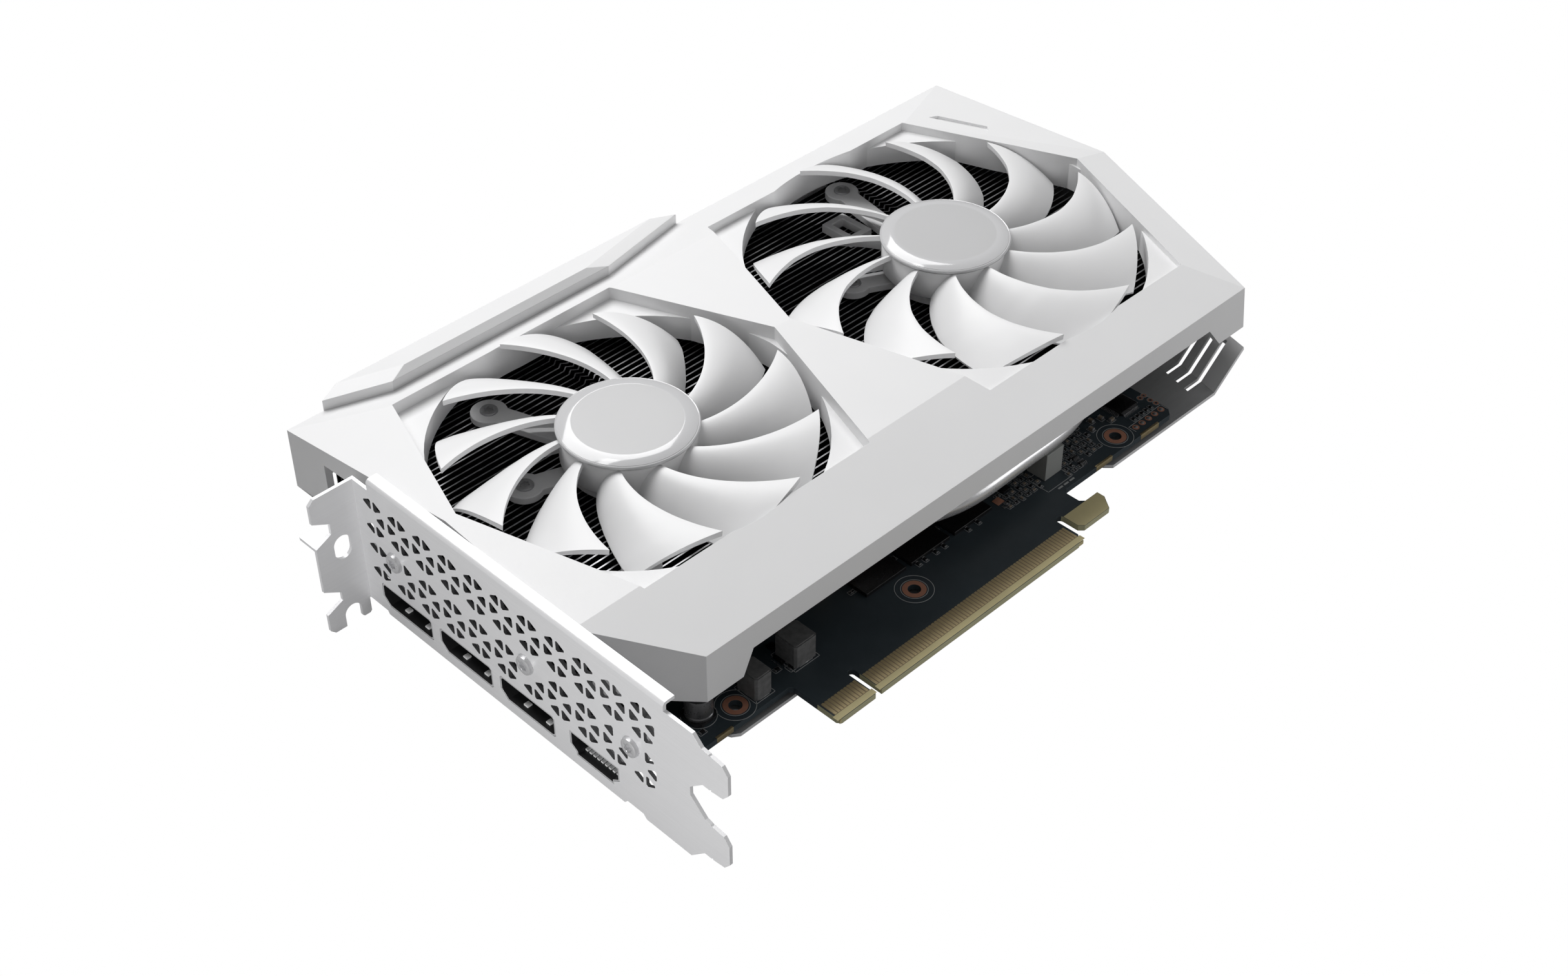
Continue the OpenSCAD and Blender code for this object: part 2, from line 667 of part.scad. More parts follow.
module side_light_bar() {
    color([0.9, 0.9, 0.9]) {
        difference() {
            polyhedron(bar_points(), [[1, 2, 3, 4, 5, 0], [7, 1, 0], [6, 7, 0], [8, 2, 1],
                [7, 8, 1], [9, 3, 2], [8, 9, 2], [10, 4, 3], [9, 10, 3], [11, 5, 4], [10, 11, 4],
                [6, 0, 5], [11, 6, 5], [12, 7, 6], [11, 12, 6], [13, 8, 7], [12, 13, 7],
                [13, 9, 8], [13, 10, 9], [13, 12, 11], [10, 13, 11]]);
            shroud_solid(0, 0, rim_z);
        }
        translate([-41.6, far_edge_y, 18]) cube([100.1, bar_out_y - far_edge_y, 11.2]);
    }
}

fold_mid_y = crown_y - 1.2;
plate_low_y = 14.6;
plate_high_y = 127;
function fold_at(y) = fold_x + fold_slant * (min(y, fold_mid_y) - plate_low_y)
    - 0.07 * max(0, y - fold_mid_y);

module tail_panel(y0, y1) {
    low = plate_top_z - plate_t;
    ends = [for (y = [y0, y1], step = [0, 1]) [fold_at(y) + step * fold_run, y, low + step * fold_rise]];
    top = [for (p = ends) p + [-0.4 * plate_t, 0, plate_t]];
    polyhedron(concat(ends, top), [[0, 1, 3, 2], [4, 6, 7, 5], [0, 4, 5, 1], [2, 3, 7, 6],
        [0, 2, 6, 4], [1, 5, 7, 3]]);
}

module backplate() {
    relief_y = 20.5;
    slit_w = 1.4;
    slit_pitch = 4.1;
    color([0.62, 0.62, 0.62]) difference() {
        union() {
            translate([0, 0, plate_top_z - plate_t]) linear_extrude(plate_t)
                polygon([[-52, 24], [-38, 24], [-33.6, 19.6], [-31, 17.2], [-30.4, 15.8],
                    [-28.6, plate_low_y], [78, plate_low_y], [79.5, 16.1], [79.5, 18.5],
                    [81.5, relief_y], [98.5, relief_y], [100.5, 18.5], [100.5, 16.4],
                    [102.3, plate_low_y], [fold_at(plate_low_y), plate_low_y], [fold_at(fold_mid_y), fold_mid_y],
                    [fold_at(plate_high_y), plate_high_y], [-46, plate_high_y],
                    [-52, plate_high_y - 6]]);
            tail_panel(plate_low_y, fold_mid_y);
            tail_panel(fold_mid_y, plate_high_y);
        }
        for (y = [20:slit_pitch:plate_high_y - 3]) translate([fold_at(y), y, -10])
            linear_extrude(20) polygon([[-6.2, 0], [fold_run - 1.6, 0],
                [fold_run - 1.3, slit_w], [-5.9, slit_w]]);
        for (p = board_holes) translate([p[0], p[1], -10]) cylinder(h = 12, r = pcb_hole_r);
        for (p = COOLER_HOLES) translate([p[0], p[1], -10]) cylinder(h = 12, r = 2.8);
        for (p = PLATE_SCREWS) translate([p[0], p[1], -10]) cylinder(h = 12, r = 1.25);
    }
}

PLATE_SCREWS = [[-40, 60], [-40, 112], [20, 112], [92, 112], [120, 60], [84, 30]];

module backplate_screws() {
    color([0.2, 0.2, 0.2]) for (p = PLATE_SCREWS) translate([p[0], p[1], 0]) {
        translate([0, 0, plate_top_z - plate_t - 0.7]) cylinder(h = 0.7, r = 2.2);
        translate([0, 0, plate_top_z - plate_t]) cylinder(h = -plate_top_z + plate_t - pcb_t, r = 1.2);
    }
}

module shroud_screws() {
    color([0.3, 0.3, 0.32]) for (p = SHROUD_SCREWS) translate([p[0], p[1], 0]) {
        translate([0, 0, fin_top_z + 0.1]) cylinder(h = 2.4, r = 1.2);
        translate([0, 0, fin_top_z + 2.5]) cylinder(h = 1.2, r = 2.4);
    }
}
SHROUD_SCREWS = [[-46, 120], [52, 40], [52, 118], [160, 118]];

// ---- Fans: each has a fixed frame, and a rotor that turns on its shaft ----

// One blade, from its root in the hub to its tip. sweep is how far the leading
// edge runs ahead of its root, and bow how late along the radius it does so
module blade(tip_r, root_angle, sweep, bow, tip_wide, dive) {
    rings = 7;
    chord = 5;
    thick = 0.8;
    root_r = hub_r - 0.8;
    points = [for (side = [1, 0], i = [0:rings - 1], k = [0:chord - 1])
        let (s = i / (rings - 1), t = k / (chord - 1), r = root_r + s * (tip_r - root_r),
            wide = 20.5 + (tip_wide - 20.5) * pow(s, 1.5), lead = root_angle + sweep * pow(s, bow),
            a = lead - wide * t, high = 32.8 + 0.6 * s, z = high - (high - 25.8) * pow(t, dive))
        [r * cos(a), r * sin(a), z - (1 - side) * thick]];
    top = [for (i = [0:rings - 2], k = [0:chord - 2]) let (a = i * chord + k)
        each [[a, a + chord + 1, a + 1], [a, a + chord, a + chord + 1]]];
    n = rings * chord;
    bottom = [for (f = top) [f[2] + n, f[1] + n, f[0] + n]];
    rim = concat([for (k = [0:chord - 1]) k], [for (i = [1:rings - 1]) i * chord + chord - 1],
        [for (k = [chord - 2:-1:0]) (rings - 1) * chord + k], [for (i = [rings - 2:-1:1]) i * chord]);
    edge = [for (j = [0:len(rim) - 1]) let (a = rim[j], b = rim[(j + 1) % len(rim)])
        each [[a, b, a + n], [b, b + n, a + n]]];
    polyhedron(points, concat(top, bottom, edge));
}

module fan_rotor(tip_r, root_angle, sweep, bow, tip_wide, dive) {
    difference() {
        union() {
            translate([0, 0, cup_z]) cylinder(h = 33 - cup_z, r = hub_r, $fn = 96);
            for (i = [0:blade_count - 1]) rotate(i * 360 / blade_count)
                blade(tip_r, root_angle, sweep, bow, tip_wide, dive);
        }
        translate([0, 0, cup_z - 2]) cylinder(h = 31.4 - cup_z + 2, r = hub_r - 1.6, $fn = 96);
        translate([0, 0, 30]) cylinder(h = 5, r = shaft_r);
    }
}

module hub_cap() {
    round_r = 1.4;
    color([0.85, 0.85, 0.86]) rotate_extrude($fn = 96) {
        square([cap_r - round_r, cap_z - 33]);
        translate([cap_r - round_r, 0]) square([round_r, cap_z - 33 - round_r]);
        translate([cap_r - round_r, cap_z - 33 - round_r]) intersection() {
            circle(r = round_r);
            square(round_r);
        }
    }
}

module fan_shaft() {
    color([0.75, 0.75, 0.77]) translate([0, 0, frame_z + frame_t + 0.4])
        cylinder(h = 33 - frame_z - frame_t - 0.4, r = shaft_r);
}

module magnet_ring() {
    color([0.25, 0.24, 0.24]) translate([0, 0, cup_z + 0.6]) difference() {
        cylinder(h = 5.6, r = hub_r - 1.6, $fn = 96);
        translate([0, 0, -1]) cylinder(h = 8, r = hub_r - 3.2, $fn = 96);
    }
}

module fan_bearing() {
    color([0.78, 0.62, 0.35]) translate([0, 0, frame_z + frame_t + eps]) difference() {
        cylinder(h = 6.2, r = bearing_r);
        translate([0, 0, -1]) cylinder(h = 9, r = shaft_r + running_gap);
    }
}

module stator() {
    color([0.6, 0.35, 0.2]) translate([0, 0, frame_z + frame_t + 1]) difference() {
        union() {
            cylinder(h = 4.4, r = 6);
            for (a = [0:60:300]) rotate(a) translate([0, -2, 0]) cube([11.6, 4, 4.4]);
        }
        translate([0, 0, -1]) cylinder(h = 7, r = bearing_r + 1.1);
    }
}

// A motor plate with arms out to its screw ears; ears are [radius, angle]
module fan_frame(ears) {
    color([0.3, 0.3, 0.31]) {
        translate([0, 0, frame_z]) linear_extrude(frame_t) difference() {
            union() {
                circle(r = 15);
                for (e = ears) rotate(e[1]) {
                    translate([0, -3]) square([e[0], 6]);
                    translate([e[0], 0]) circle(r = 4.6);
                }
            }
            for (e = ears) rotate(e[1]) translate([e[0], 0]) circle(r = 1.3);
        }
        translate([0, 0, frame_z + frame_t - eps]) difference() {
            cylinder(h = 6, r = bearing_r + 1);
            translate([0, 0, -1]) cylinder(h = 8, r = bearing_r);
        }
    }
}

FRONT_EARS = [[38.6, 109], [26, 160], [38.6, -128], [38.6, -20]];
REAR_EARS = [[45, 80], [25, 152], [45, -80]];

module fan_frame_screws() {
    color([0.4, 0.4, 0.42]) {
        for (e = FRONT_EARS) translate(concat(front_hub, 0)) rotate(e[1]) ear_screw(e[0]);
        for (e = REAR_EARS) translate(concat(rear_hub, 0)) rotate(e[1]) ear_screw(e[0]);
    }
}

module ear_screw(r) {
    translate([r, 0, frame_z - 0.4]) cylinder(h = frame_t + 0.4, r = 1.2);
    translate([r, 0, frame_z + frame_t]) cylinder(h = 0.6, r = 2.2);
}

module fan_cable_clip() {
    color([0.35, 0.35, 0.36]) translate([99.5, 104, fin_top_z + 0.05]) difference() {
        cube([8, 11, 2.6]);
        translate([2, 2, -1]) cube([4, 7, 5]);
    }
}

module in_place(hub) {
    translate(concat(hub, 0)) children();
}

module front_fan_rotor() {
    color([0.93, 0.93, 0.93]) in_place(front_hub) fan_rotor(front_tip_r, -103.5, 32.5, 1, 27, 2.2);
}
module rear_fan_rotor() {
    color([0.93, 0.93, 0.93]) in_place(rear_hub) fan_rotor(rear_tip_r, -96, 26, 1.5, 23.7, 1.7);
}
module front_hub_cap() { in_place(front_hub) translate([0, 0, 33]) hub_cap(); }
module rear_hub_cap() { in_place(rear_hub) translate([0, 0, 33]) hub_cap(); }
module front_fan_shaft() { in_place(front_hub) fan_shaft(); }
module rear_fan_shaft() { in_place(rear_hub) fan_shaft(); }
module front_magnet_ring() { in_place(front_hub) magnet_ring(); }
module rear_magnet_ring() { in_place(rear_hub) magnet_ring(); }
module front_fan_frame() { in_place(front_hub) fan_frame(FRONT_EARS); }
module rear_fan_frame() { in_place(rear_hub) fan_frame(REAR_EARS); }
module front_stator() { in_place(front_hub) stator(); }
module rear_stator() { in_place(rear_hub) stator(); }
module front_bearing() { in_place(front_hub) fan_bearing(); }
module rear_bearing() { in_place(rear_hub) fan_bearing(); }

pcb();
edge_contacts();
board_hole_rings();
io_bracket();
bracket_screws();
av_socket_shell();
av_socket_tongue();
display_socket_shells();
display_socket_tongues();
shroud();
side_light_bar();
backplate();
backplate_screws();
front_fin_stack();
rear_fin_stack();
heat_pipes();
cold_plate();
gpu_package();
gpu_die();
memory_chips();
thermal_pads();
chokes();
mosfets();
tall_capacitors();
small_capacitors();
controller_chips();
lamp_connector();
fan_headers();
power_inlet();
power_pins();
retention_screws();
retention_springs();
bracket_mounts();
front_fan_rotor();
front_hub_cap();
front_fan_shaft();
front_magnet_ring();
front_fan_frame();
front_stator();
front_bearing();
rear_fan_rotor();
rear_hub_cap();
rear_fan_shaft();
rear_magnet_ring();
rear_fan_frame();
rear_stator();
rear_bearing();
fan_frame_screws();
fan_cable_clip();
shroud_screws();
heatsink_standoffs();
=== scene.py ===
"""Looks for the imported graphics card: every piece is built in mesh code around the CAD frame.

Lengths are in millimetres until add_piece, round_edges or MM turns them into metres."""
import json
import math
import bpy
import bmesh
from mathutils import Matrix, Vector

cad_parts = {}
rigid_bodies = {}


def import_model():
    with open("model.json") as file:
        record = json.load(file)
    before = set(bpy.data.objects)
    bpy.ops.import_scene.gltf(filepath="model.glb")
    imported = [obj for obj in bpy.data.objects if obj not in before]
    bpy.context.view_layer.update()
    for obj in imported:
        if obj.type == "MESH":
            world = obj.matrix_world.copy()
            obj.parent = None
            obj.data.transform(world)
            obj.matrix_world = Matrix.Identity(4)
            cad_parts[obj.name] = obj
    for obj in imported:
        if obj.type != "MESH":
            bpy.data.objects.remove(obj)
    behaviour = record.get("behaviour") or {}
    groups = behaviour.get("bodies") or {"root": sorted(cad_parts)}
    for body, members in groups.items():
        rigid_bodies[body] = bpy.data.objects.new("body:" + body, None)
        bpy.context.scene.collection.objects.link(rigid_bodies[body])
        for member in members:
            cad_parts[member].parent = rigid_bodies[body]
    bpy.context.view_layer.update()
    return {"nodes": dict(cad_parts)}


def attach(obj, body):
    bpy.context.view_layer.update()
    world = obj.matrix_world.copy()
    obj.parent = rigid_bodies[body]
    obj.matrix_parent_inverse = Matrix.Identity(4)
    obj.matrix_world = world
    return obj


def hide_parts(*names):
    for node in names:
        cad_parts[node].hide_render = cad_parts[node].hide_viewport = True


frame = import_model()
NODES = frame["nodes"]
MM = 0.001

# Shared places, in the CAD frame
BRACKET_X = -58.94
FRONT_HUB = (-2.6, 78.3)
REAR_HUB = (107.4, 78.3)
DISPLAY_Y = (41.3, 62.7, 84.2)

# ---------------------------------------------------------------- materials

def new_material(name):
    """A material with its node tree and its shader."""
    m = bpy.data.materials.new(name)
    m.use_nodes = True
    tree = m.node_tree
    shader = tree.nodes["Principled BSDF"]
    return m, tree, shader


def node(tree, kind, **settings):
    """A new node; each setting goes to the socket or the property of that name."""
    n = tree.nodes.new(kind)
    for key, value in settings.items():
        if key in n.inputs.keys():
            n.inputs[key].default_value = value
        else:
            setattr(n, key, value)
    return n


def coords(tree, scale):
    """Object coordinates, stretched by a scale."""
    tex = tree.nodes.new("ShaderNodeTexCoord")
    mapping = tree.nodes.new("ShaderNodeMapping")
    mapping.inputs["Scale"].default_value = scale
    tree.links.new(tex.outputs["Object"], mapping.inputs["Vector"])
    return mapping.outputs["Vector"]


def ramp(tree, source, stops):
    """A colour ramp over (position, colour) stops."""
    r = tree.nodes.new("ShaderNodeValToRGB")
    elements = r.color_ramp.elements
    while len(elements) < len(stops):
        elements.new(0.5)
    for e, (pos, colour) in zip(elements, stops):
        e.position = pos
        e.color = (*colour, 1)
    tree.links.new(source, r.inputs["Fac"])
    return r.outputs["Color"]


def grey(v):
    return (v, v, v)


NOISE_LOW, NOISE_HIGH = 0.3, 0.7
BUMP_DEPTH = 0.2 * MM


def finish_material(name, colour, rough, metal=0.0, vary=0.04, vary_scale=60, grain=900,
                    bump=0.05, rough_vary=0.06, stretch=(1, 1, 1), coat=0.0, specular=0.5):
    """A surface with slow colour change, fine grain in its bump and uneven roughness."""
    m, tree, shader = new_material(name)
    at = coords(tree, stretch)
    slow = node(tree, "ShaderNodeTexNoise", Scale=vary_scale, Detail=4.0)
    tree.links.new(at, slow.inputs["Vector"])
    low = [max(0, c * (1 - vary)) for c in colour]
    high = [min(1, c * (1 + vary)) for c in colour]
    tone = ramp(tree, slow.outputs["Fac"], [(NOISE_LOW, low), (NOISE_HIGH, high)])
    tree.links.new(tone, shader.inputs["Base Color"])
    fine = node(tree, "ShaderNodeTexNoise", Scale=grain, Detail=3.0)
    tree.links.new(at, fine.inputs["Vector"])
    smoothest = max(0.02, rough - rough_vary)
    rough_tone = ramp(tree, fine.outputs["Fac"],
                      [(NOISE_LOW, grey(smoothest)), (NOISE_HIGH, grey(rough + rough_vary))])
    tree.links.new(rough_tone, shader.inputs["Roughness"])
    push = node(tree, "ShaderNodeBump", Strength=bump, Distance=BUMP_DEPTH)
    tree.links.new(fine.outputs["Fac"], push.inputs["Height"])
    tree.links.new(push.outputs["Normal"], shader.inputs["Normal"])
    shader.inputs["Metallic"].default_value = metal
    shader.inputs["Coat Weight"].default_value = coat
    shader.inputs["Specular IOR Level"].default_value = specular
    return m


M = {
    "white": finish_material("white_plastic_look", (0.86, 0.86, 0.865), 0.42, vary=0.008,
                             grain=2600, bump=0.05, rough_vary=0.05),
    "blade": finish_material("blade_plastic_look", (0.87, 0.87, 0.875), 0.36, vary=0.008,
                             grain=2200, bump=0.03, rough_vary=0.04),
    "lamp": finish_material("lamp_look", (0.68, 0.68, 0.685), 0.4, vary=0.01, grain=2000,
                            bump=0.03),
    "cap_rim": finish_material("cap_rim_look", (0.64, 0.64, 0.65), 0.12, vary=0.01, bump=0.01,
                               rough_vary=0.02, coat=0.6),
    "cap_disc": finish_material("cap_disc_look", (0.56, 0.56, 0.565), 0.34, vary=0.01,
                                grain=1800, bump=0.04, rough_vary=0.04),
    "bracket": finish_material("bracket_look", (0.80, 0.80, 0.81), 0.36, metal=0.25, vary=0.015,
                               grain=700, bump=0.03, stretch=(1, 1, 30), rough_vary=0.05),
    "plate": finish_material("plate_look", (0.43, 0.435, 0.44), 0.42, metal=0.35, vary=0.04,
                             grain=500, bump=0.08, stretch=(1, 12, 1), rough_vary=0.08),
    # Painted shade: near-black for the walls of the bracket's vents, standing in for the shade
    # inside the holes
    "vent_painted_shade": finish_material("vent_painted_shade_look", (0.10, 0.10, 0.103), 0.45, metal=0.3, vary=0.1,
                                 grain=500, bump=0.04),
    # Near-white pale metal for the socket springs and contacts; on the backplate the same colour
    # is a painted reflection
    "pale_metal_and_painted_reflection": finish_material("pale_metal_and_painted_reflection_look", (0.90, 0.90, 0.905), 0.4, metal=0.1,
                                  vary=0.03, grain=500, bump=0.04),
    "board": finish_material("board_look", (0.038, 0.051, 0.060), 0.4, vary=0.2, vary_scale=40,
                             grain=300, bump=0.05, rough_vary=0.06, specular=0.35),
    "silk": finish_material("silk_look", (0.42, 0.43, 0.43), 0.6, vary=0.06),
    "gold": finish_material("gold_look", (0.60, 0.485, 0.275), 0.38, metal=0.9, vary=0.06,
                            grain=1500, bump=0.05),
    "pad_gold": finish_material("pad_gold_look", (0.66, 0.58, 0.32), 0.5, metal=0.3, vary=0.1,
                                grain=1500),
    "finger_gap": finish_material("finger_gap_look", (0.27, 0.20, 0.12), 0.5, vary=0.1,
                                  grain=1500),
    "copper": finish_material("copper_look", (0.50, 0.235, 0.155), 0.5, metal=0.2, vary=0.1,
                              grain=800),
    "steel": finish_material("steel_look", (0.66, 0.66, 0.67), 0.32, metal=0.6, vary=0.03,
                             grain=900, bump=0.03),
    "dark_steel": finish_material("dark_steel_look", (0.30, 0.30, 0.305), 0.35, metal=0.6,
                                  vary=0.05, grain=900, bump=0.03),
    "laminate": finish_material("laminate_look", (0.50, 0.48, 0.30), 0.55, vary=0.06,
                                grain=900, bump=0.06),
    "socket": finish_material("socket_look", (0.6, 0.6, 0.61), 0.35, metal=0.4, vary=0.05,
                              grain=500, bump=0.04, stretch=(10, 1, 1)),
    "black": finish_material("black_plastic_look", (0.012, 0.012, 0.013), 0.5, vary=0.15,
                             grain=1200, bump=0.08),
    "chip": finish_material("chip_look", (0.006, 0.006, 0.0065), 0.32, vary=0.2, grain=1800,
                            bump=0.06),
    "fin": finish_material("fin_look", (0.006, 0.006, 0.0065), 0.45, metal=0.3, vary=0.2,
                           grain=600, bump=0.04, specular=0.3),
    "fin_edge": finish_material("fin_edge_look", (0.33, 0.33, 0.34), 0.35, metal=0.8, vary=0.3,
                                vary_scale=300, grain=800),
    "pipe": finish_material("pipe_look", (0.72, 0.72, 0.73), 0.28, metal=0.6, vary=0.03,
                            grain=300, bump=0.02, rough_vary=0.03),
    "frame": finish_material("frame_look", (0.60, 0.60, 0.605), 0.5, vary=0.1, grain=1400,
                             bump=0.1),
    "choke": finish_material("choke_look", (0.16, 0.16, 0.162), 0.5, vary=0.2, vary_scale=700,
                             grain=2400, bump=0.25, metal=0.2),
    "can": finish_material("can_look", (0.16, 0.16, 0.165), 0.3, metal=0.7, vary=0.05),
    "part": finish_material("part_look", (0.2, 0.16, 0.12), 0.5, vary=0.3, vary_scale=900),
    "solder": finish_material("solder_look", (0.42, 0.42, 0.43), 0.35, metal=0.8, vary=0.1,
                              vary_scale=500),
    "connector": finish_material("connector_look", (0.3, 0.31, 0.3), 0.5, vary=0.04, grain=1500),
    "header": finish_material("header_look", (0.7, 0.7, 0.66), 0.5, vary=0.03),
    "green": finish_material("package_look", (0.02, 0.07, 0.03), 0.5, vary=0.1),
    "silicon": finish_material("silicon_look", (0.1, 0.1, 0.12), 0.1, vary=0.05, bump=0.0),
    "rubber": finish_material("pad_look", (0.25, 0.3, 0.34), 0.8, vary=0.08, bump=0.2),
    "winding": finish_material("winding_look", (0.3, 0.1, 0.04), 0.4, metal=0.6, vary=0.2,
                               stretch=(1, 1, 20)),
    "magnet": finish_material("magnet_look", (0.03, 0.03, 0.03), 0.7, vary=0.1),
    "bronze": finish_material("bronze_look", (0.45, 0.28, 0.12), 0.4, metal=0.8, vary=0.1),
}

# ---------------------------------------------------------------- mesh helpers

def add_piece(name, bm, materials, body, smooth, replaces):
    """Turns a bmesh drawn in millimetres into a piece that rides on a CAD body."""
    mesh = bpy.data.meshes.new(name)
    bmesh.ops.recalc_face_normals(bm, faces=bm.faces)
    bm.to_mesh(mesh)
    bm.free()
    mesh.transform(Matrix.Scale(MM, 4))
    return place(name, mesh, materials, body, smooth, replaces)


def place(name, mesh, materials, body, smooth, replaces):
    """A piece from a mesh in metres, shaded smooth up to an angle in degrees."""
    piece = bpy.data.objects.new(name, mesh)
    bpy.context.scene.collection.objects.link(piece)
    for m in materials:
        mesh.materials.append(M[m])
    if smooth:
        for p in mesh.polygons:
            p.use_smooth = True
        mesh.set_sharp_from_angle(angle=math.radians(smooth))
    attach(piece, body)
    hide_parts(*replaces)
    return piece


def round_edges(piece, width, segments, angle, harden=True):
    """Round every edge that turns by more than an angle in degrees."""
    bevel = piece.modifiers.new("round", "BEVEL")
    bevel.width = width * MM
    bevel.segments = segments
    bevel.limit_method = "ANGLE"
    bevel.angle_limit = math.radians(angle)
    bevel.harden_normals = harden


# A wall is upright when its normal rises less than this
UPRIGHT = 0.15


def mark_edges(bm, flat_from, round_to):
    """Flat facets keep crisp folds; the strips of a turned wall shade as one surface."""
    for e in bm.edges:
        if len(e.link_faces) != 2:
            e.smooth = False
            continue
        a, b = e.link_faces
        turn = math.degrees(a.normal.angle(b.normal, 0))
        upright = abs(a.normal.z) < UPRIGHT and abs(b.normal.z) < UPRIGHT
        e.smooth = turn < flat_from or (upright and turn < round_to)


def refined(cad, name, body, material, width, angle=10, merge=0.06):
    """A cleaned copy of a CAD solid with its hard edges rounded."""
    bm = bmesh.new()
    bm.from_mesh(NODES[cad].data)
    bmesh.ops.remove_doubles(bm, verts=bm.verts, dist=merge * MM)
    bmesh.ops.dissolve_limit(bm, angle_limit=math.radians(1.0), verts=bm.verts, edges=bm.edges)
    bm.normal_update()
    mark_edges(bm, 0.8, 22)
    mesh = bpy.data.meshes.new(name)
    bm.to_mesh(mesh)
    bm.free()
    for p in mesh.polygons:
        p.use_smooth = True
    piece = place(name, mesh, [material], body, 0, (cad,))
    round_edges(piece, width, 2, angle)
    return piece


def recolour(piece, material, chosen, cut_y=None):
    """Give another material to the faces that chosen(normal, centre in mm) picks."""
    piece.data.materials.append(M[material])
    bm = bmesh.new()
    bm.from_mesh(piece.data)
    if cut_y is not None:
        bmesh.ops.bisect_plane(bm, geom=bm.verts[:] + bm.edges[:] + bm.faces[:],
                               plane_co=(0, cut_y * MM, 0), plane_no=(0, 1, 0))
    bm.normal_update()
    for f in bm.faces:
        if chosen(f.normal, f.calc_center_median() / MM):
            f.material_index = len(piece.data.materials) - 1
    bm.to_mesh(piece.data)
    bm.free()


def quad_grid(bm, rows, cols, point, closed=False):
    """Faces over a grid of points that point(i, j) gives; closed joins the last column."""
    grid = [[bm.verts.new(point(i, j)) for j in range(cols)] for i in range(rows)]
    for i in range(rows - 1):
        for j in range(cols if closed else cols - 1):
            k = (j + 1) % cols
            bm.faces.new((grid[i][j], grid[i][k], grid[i + 1][k], grid[i + 1][j]))
    return grid


def prism(bm, outline, low, high, material=0):
    """A closed prism from an [x, y] outline between two heights."""
    n = len(outline)
    bottom = [bm.verts.new((x, y, low)) for x, y in outline]
    top = [bm.verts.new((x, y, high)) for x, y in outline]
    faces = [bm.faces.new(bottom[::-1]), bm.faces.new(top)]
    for i in range(n):
        j = (i + 1) % n
        faces.append(bm.faces.new((bottom[i], bottom[j], top[j], top[i])))
    for f in faces:
        f.material_index = material
    return faces


def block(bm, low, high, round_r=0.0, material=0):
    """A box, its edges rounded when round_r is given."""
    made = bmesh.ops.create_cube(bm, size=1)
    verts = made["verts"]
    for v in verts:
        v.co = Vector([low[k] + (v.co[k] + 0.5) * (high[k] - low[k]) for k in range(3)])
    faces = {f for v in verts for f in v.link_faces}
    for f in faces:
        f.material_index = material
    if round_r > 0:
        edges = {e for v in verts for e in v.link_edges}
        bmesh.ops.bevel(bm, geom=list(edges), offset=round_r, segments=2, profile=0.5,
                        affect="EDGES", material=material)


def lathe(bm, profile, centre, sides=96, material=None, tilt=None, lobes=None):
    """Turns an [r, z] profile about an axis; ends at r = 0 are closed to a point.

    tilt turns the finished piece about its centre; lobes[i] gives ring i a wavy outline."""
    rings = []
    first = len(bm.verts)
    base = (0, 0) if tilt else centre
    for i, (r, z) in enumerate(profile):
        wave = lobes.get(i, 0) if lobes else 0
        if r < 1e-6:
            rings.append([bm.verts.new((base[0], base[1], z))])
        else:
            ring = []
            for k in range(sides):
                turn = 2 * math.pi * k / sides
                reach = r * (1 + wave * math.cos(6 * turn))
                ring.append(bm.verts.new((base[0] + reach * math.cos(turn),
                                          base[1] + reach * math.sin(turn), z)))
            rings.append(ring)
    if tilt:
        bm.verts.ensure_lookup_table()
        move = Matrix.Translation(centre) @ tilt
        for v in bm.verts[first:]:
            v.co = move @ v.co
    for i in range(len(rings) - 1):
        a, b = rings[i], rings[i + 1]
        for k in range(sides):
            j = (k + 1) % sides
            if len(a) == 1:
                f = bm.faces.new((a[0], b[j], b[k]))
            elif len(b) == 1:
                f = bm.faces.new((a[k], a[j], b[0]))
            else:
                f = bm.faces.new((a[k], a[j], b[j], b[k]))
            f.material_index = material[i] if material else 0


def arc(centre, r, start, end, steps):
    """Points on an arc between two angles in degrees."""
    return [(centre[0] + r * math.cos(math.radians(start + (end - start) * k / steps)),
             centre[1] + r * math.sin(math.radians(start + (end - start) * k / steps)))
            for k in range(steps + 1)]


# ---------------------------------------------------------------- fans

BLADES = 11
HUB_R = 16.4
HUB_LOW, HUB_TOP = 25.0, 32.8
HUB_WALL = 1.4


def lerp_table(table, x):
    """The value at x on straight lines through a table of points."""
    for (x0, y0), (x1, y1) in zip(table, table[1:]):
        if x <= x1:
            return y0 + (y1 - y0) * max(0, x - x0) / (x1 - x0)
    return table[-1][1]


def blade_grid(lead, wide, tip_r, first_tip, heights, dive):
    """Returns point(i, j) on a blade: i along the radius, j round its section.

    A section starts level at its leading edge and dives towards its trailing edge."""
    rows, chord = 26, 18
    root_r = HUB_R - 0.6
    low_z = 25.5
    thick, thin = 1.5, 0.65

    def section(i, j):
        s = i / (rows - 1)
        r = root_r + (tip_r - root_r) * s
        upper = j <= chord
        t = j / chord if upper else (2 * chord - j) / chord
        t = 0.5 - 0.5 * math.cos(math.pi * t)
        a = first_tip + lerp_table(lead, r) - lerp_table(wide, r) * t
        z_lead = heights[0] + (heights[1] - heights[0]) * s
        z = z_lead - (z_lead - low_z) * t ** dive
        z -= 0 if upper else thin + (thick - thin) * (1 - t) ** 0.7
        return r, a, z

    return rows, 2 * chord, section


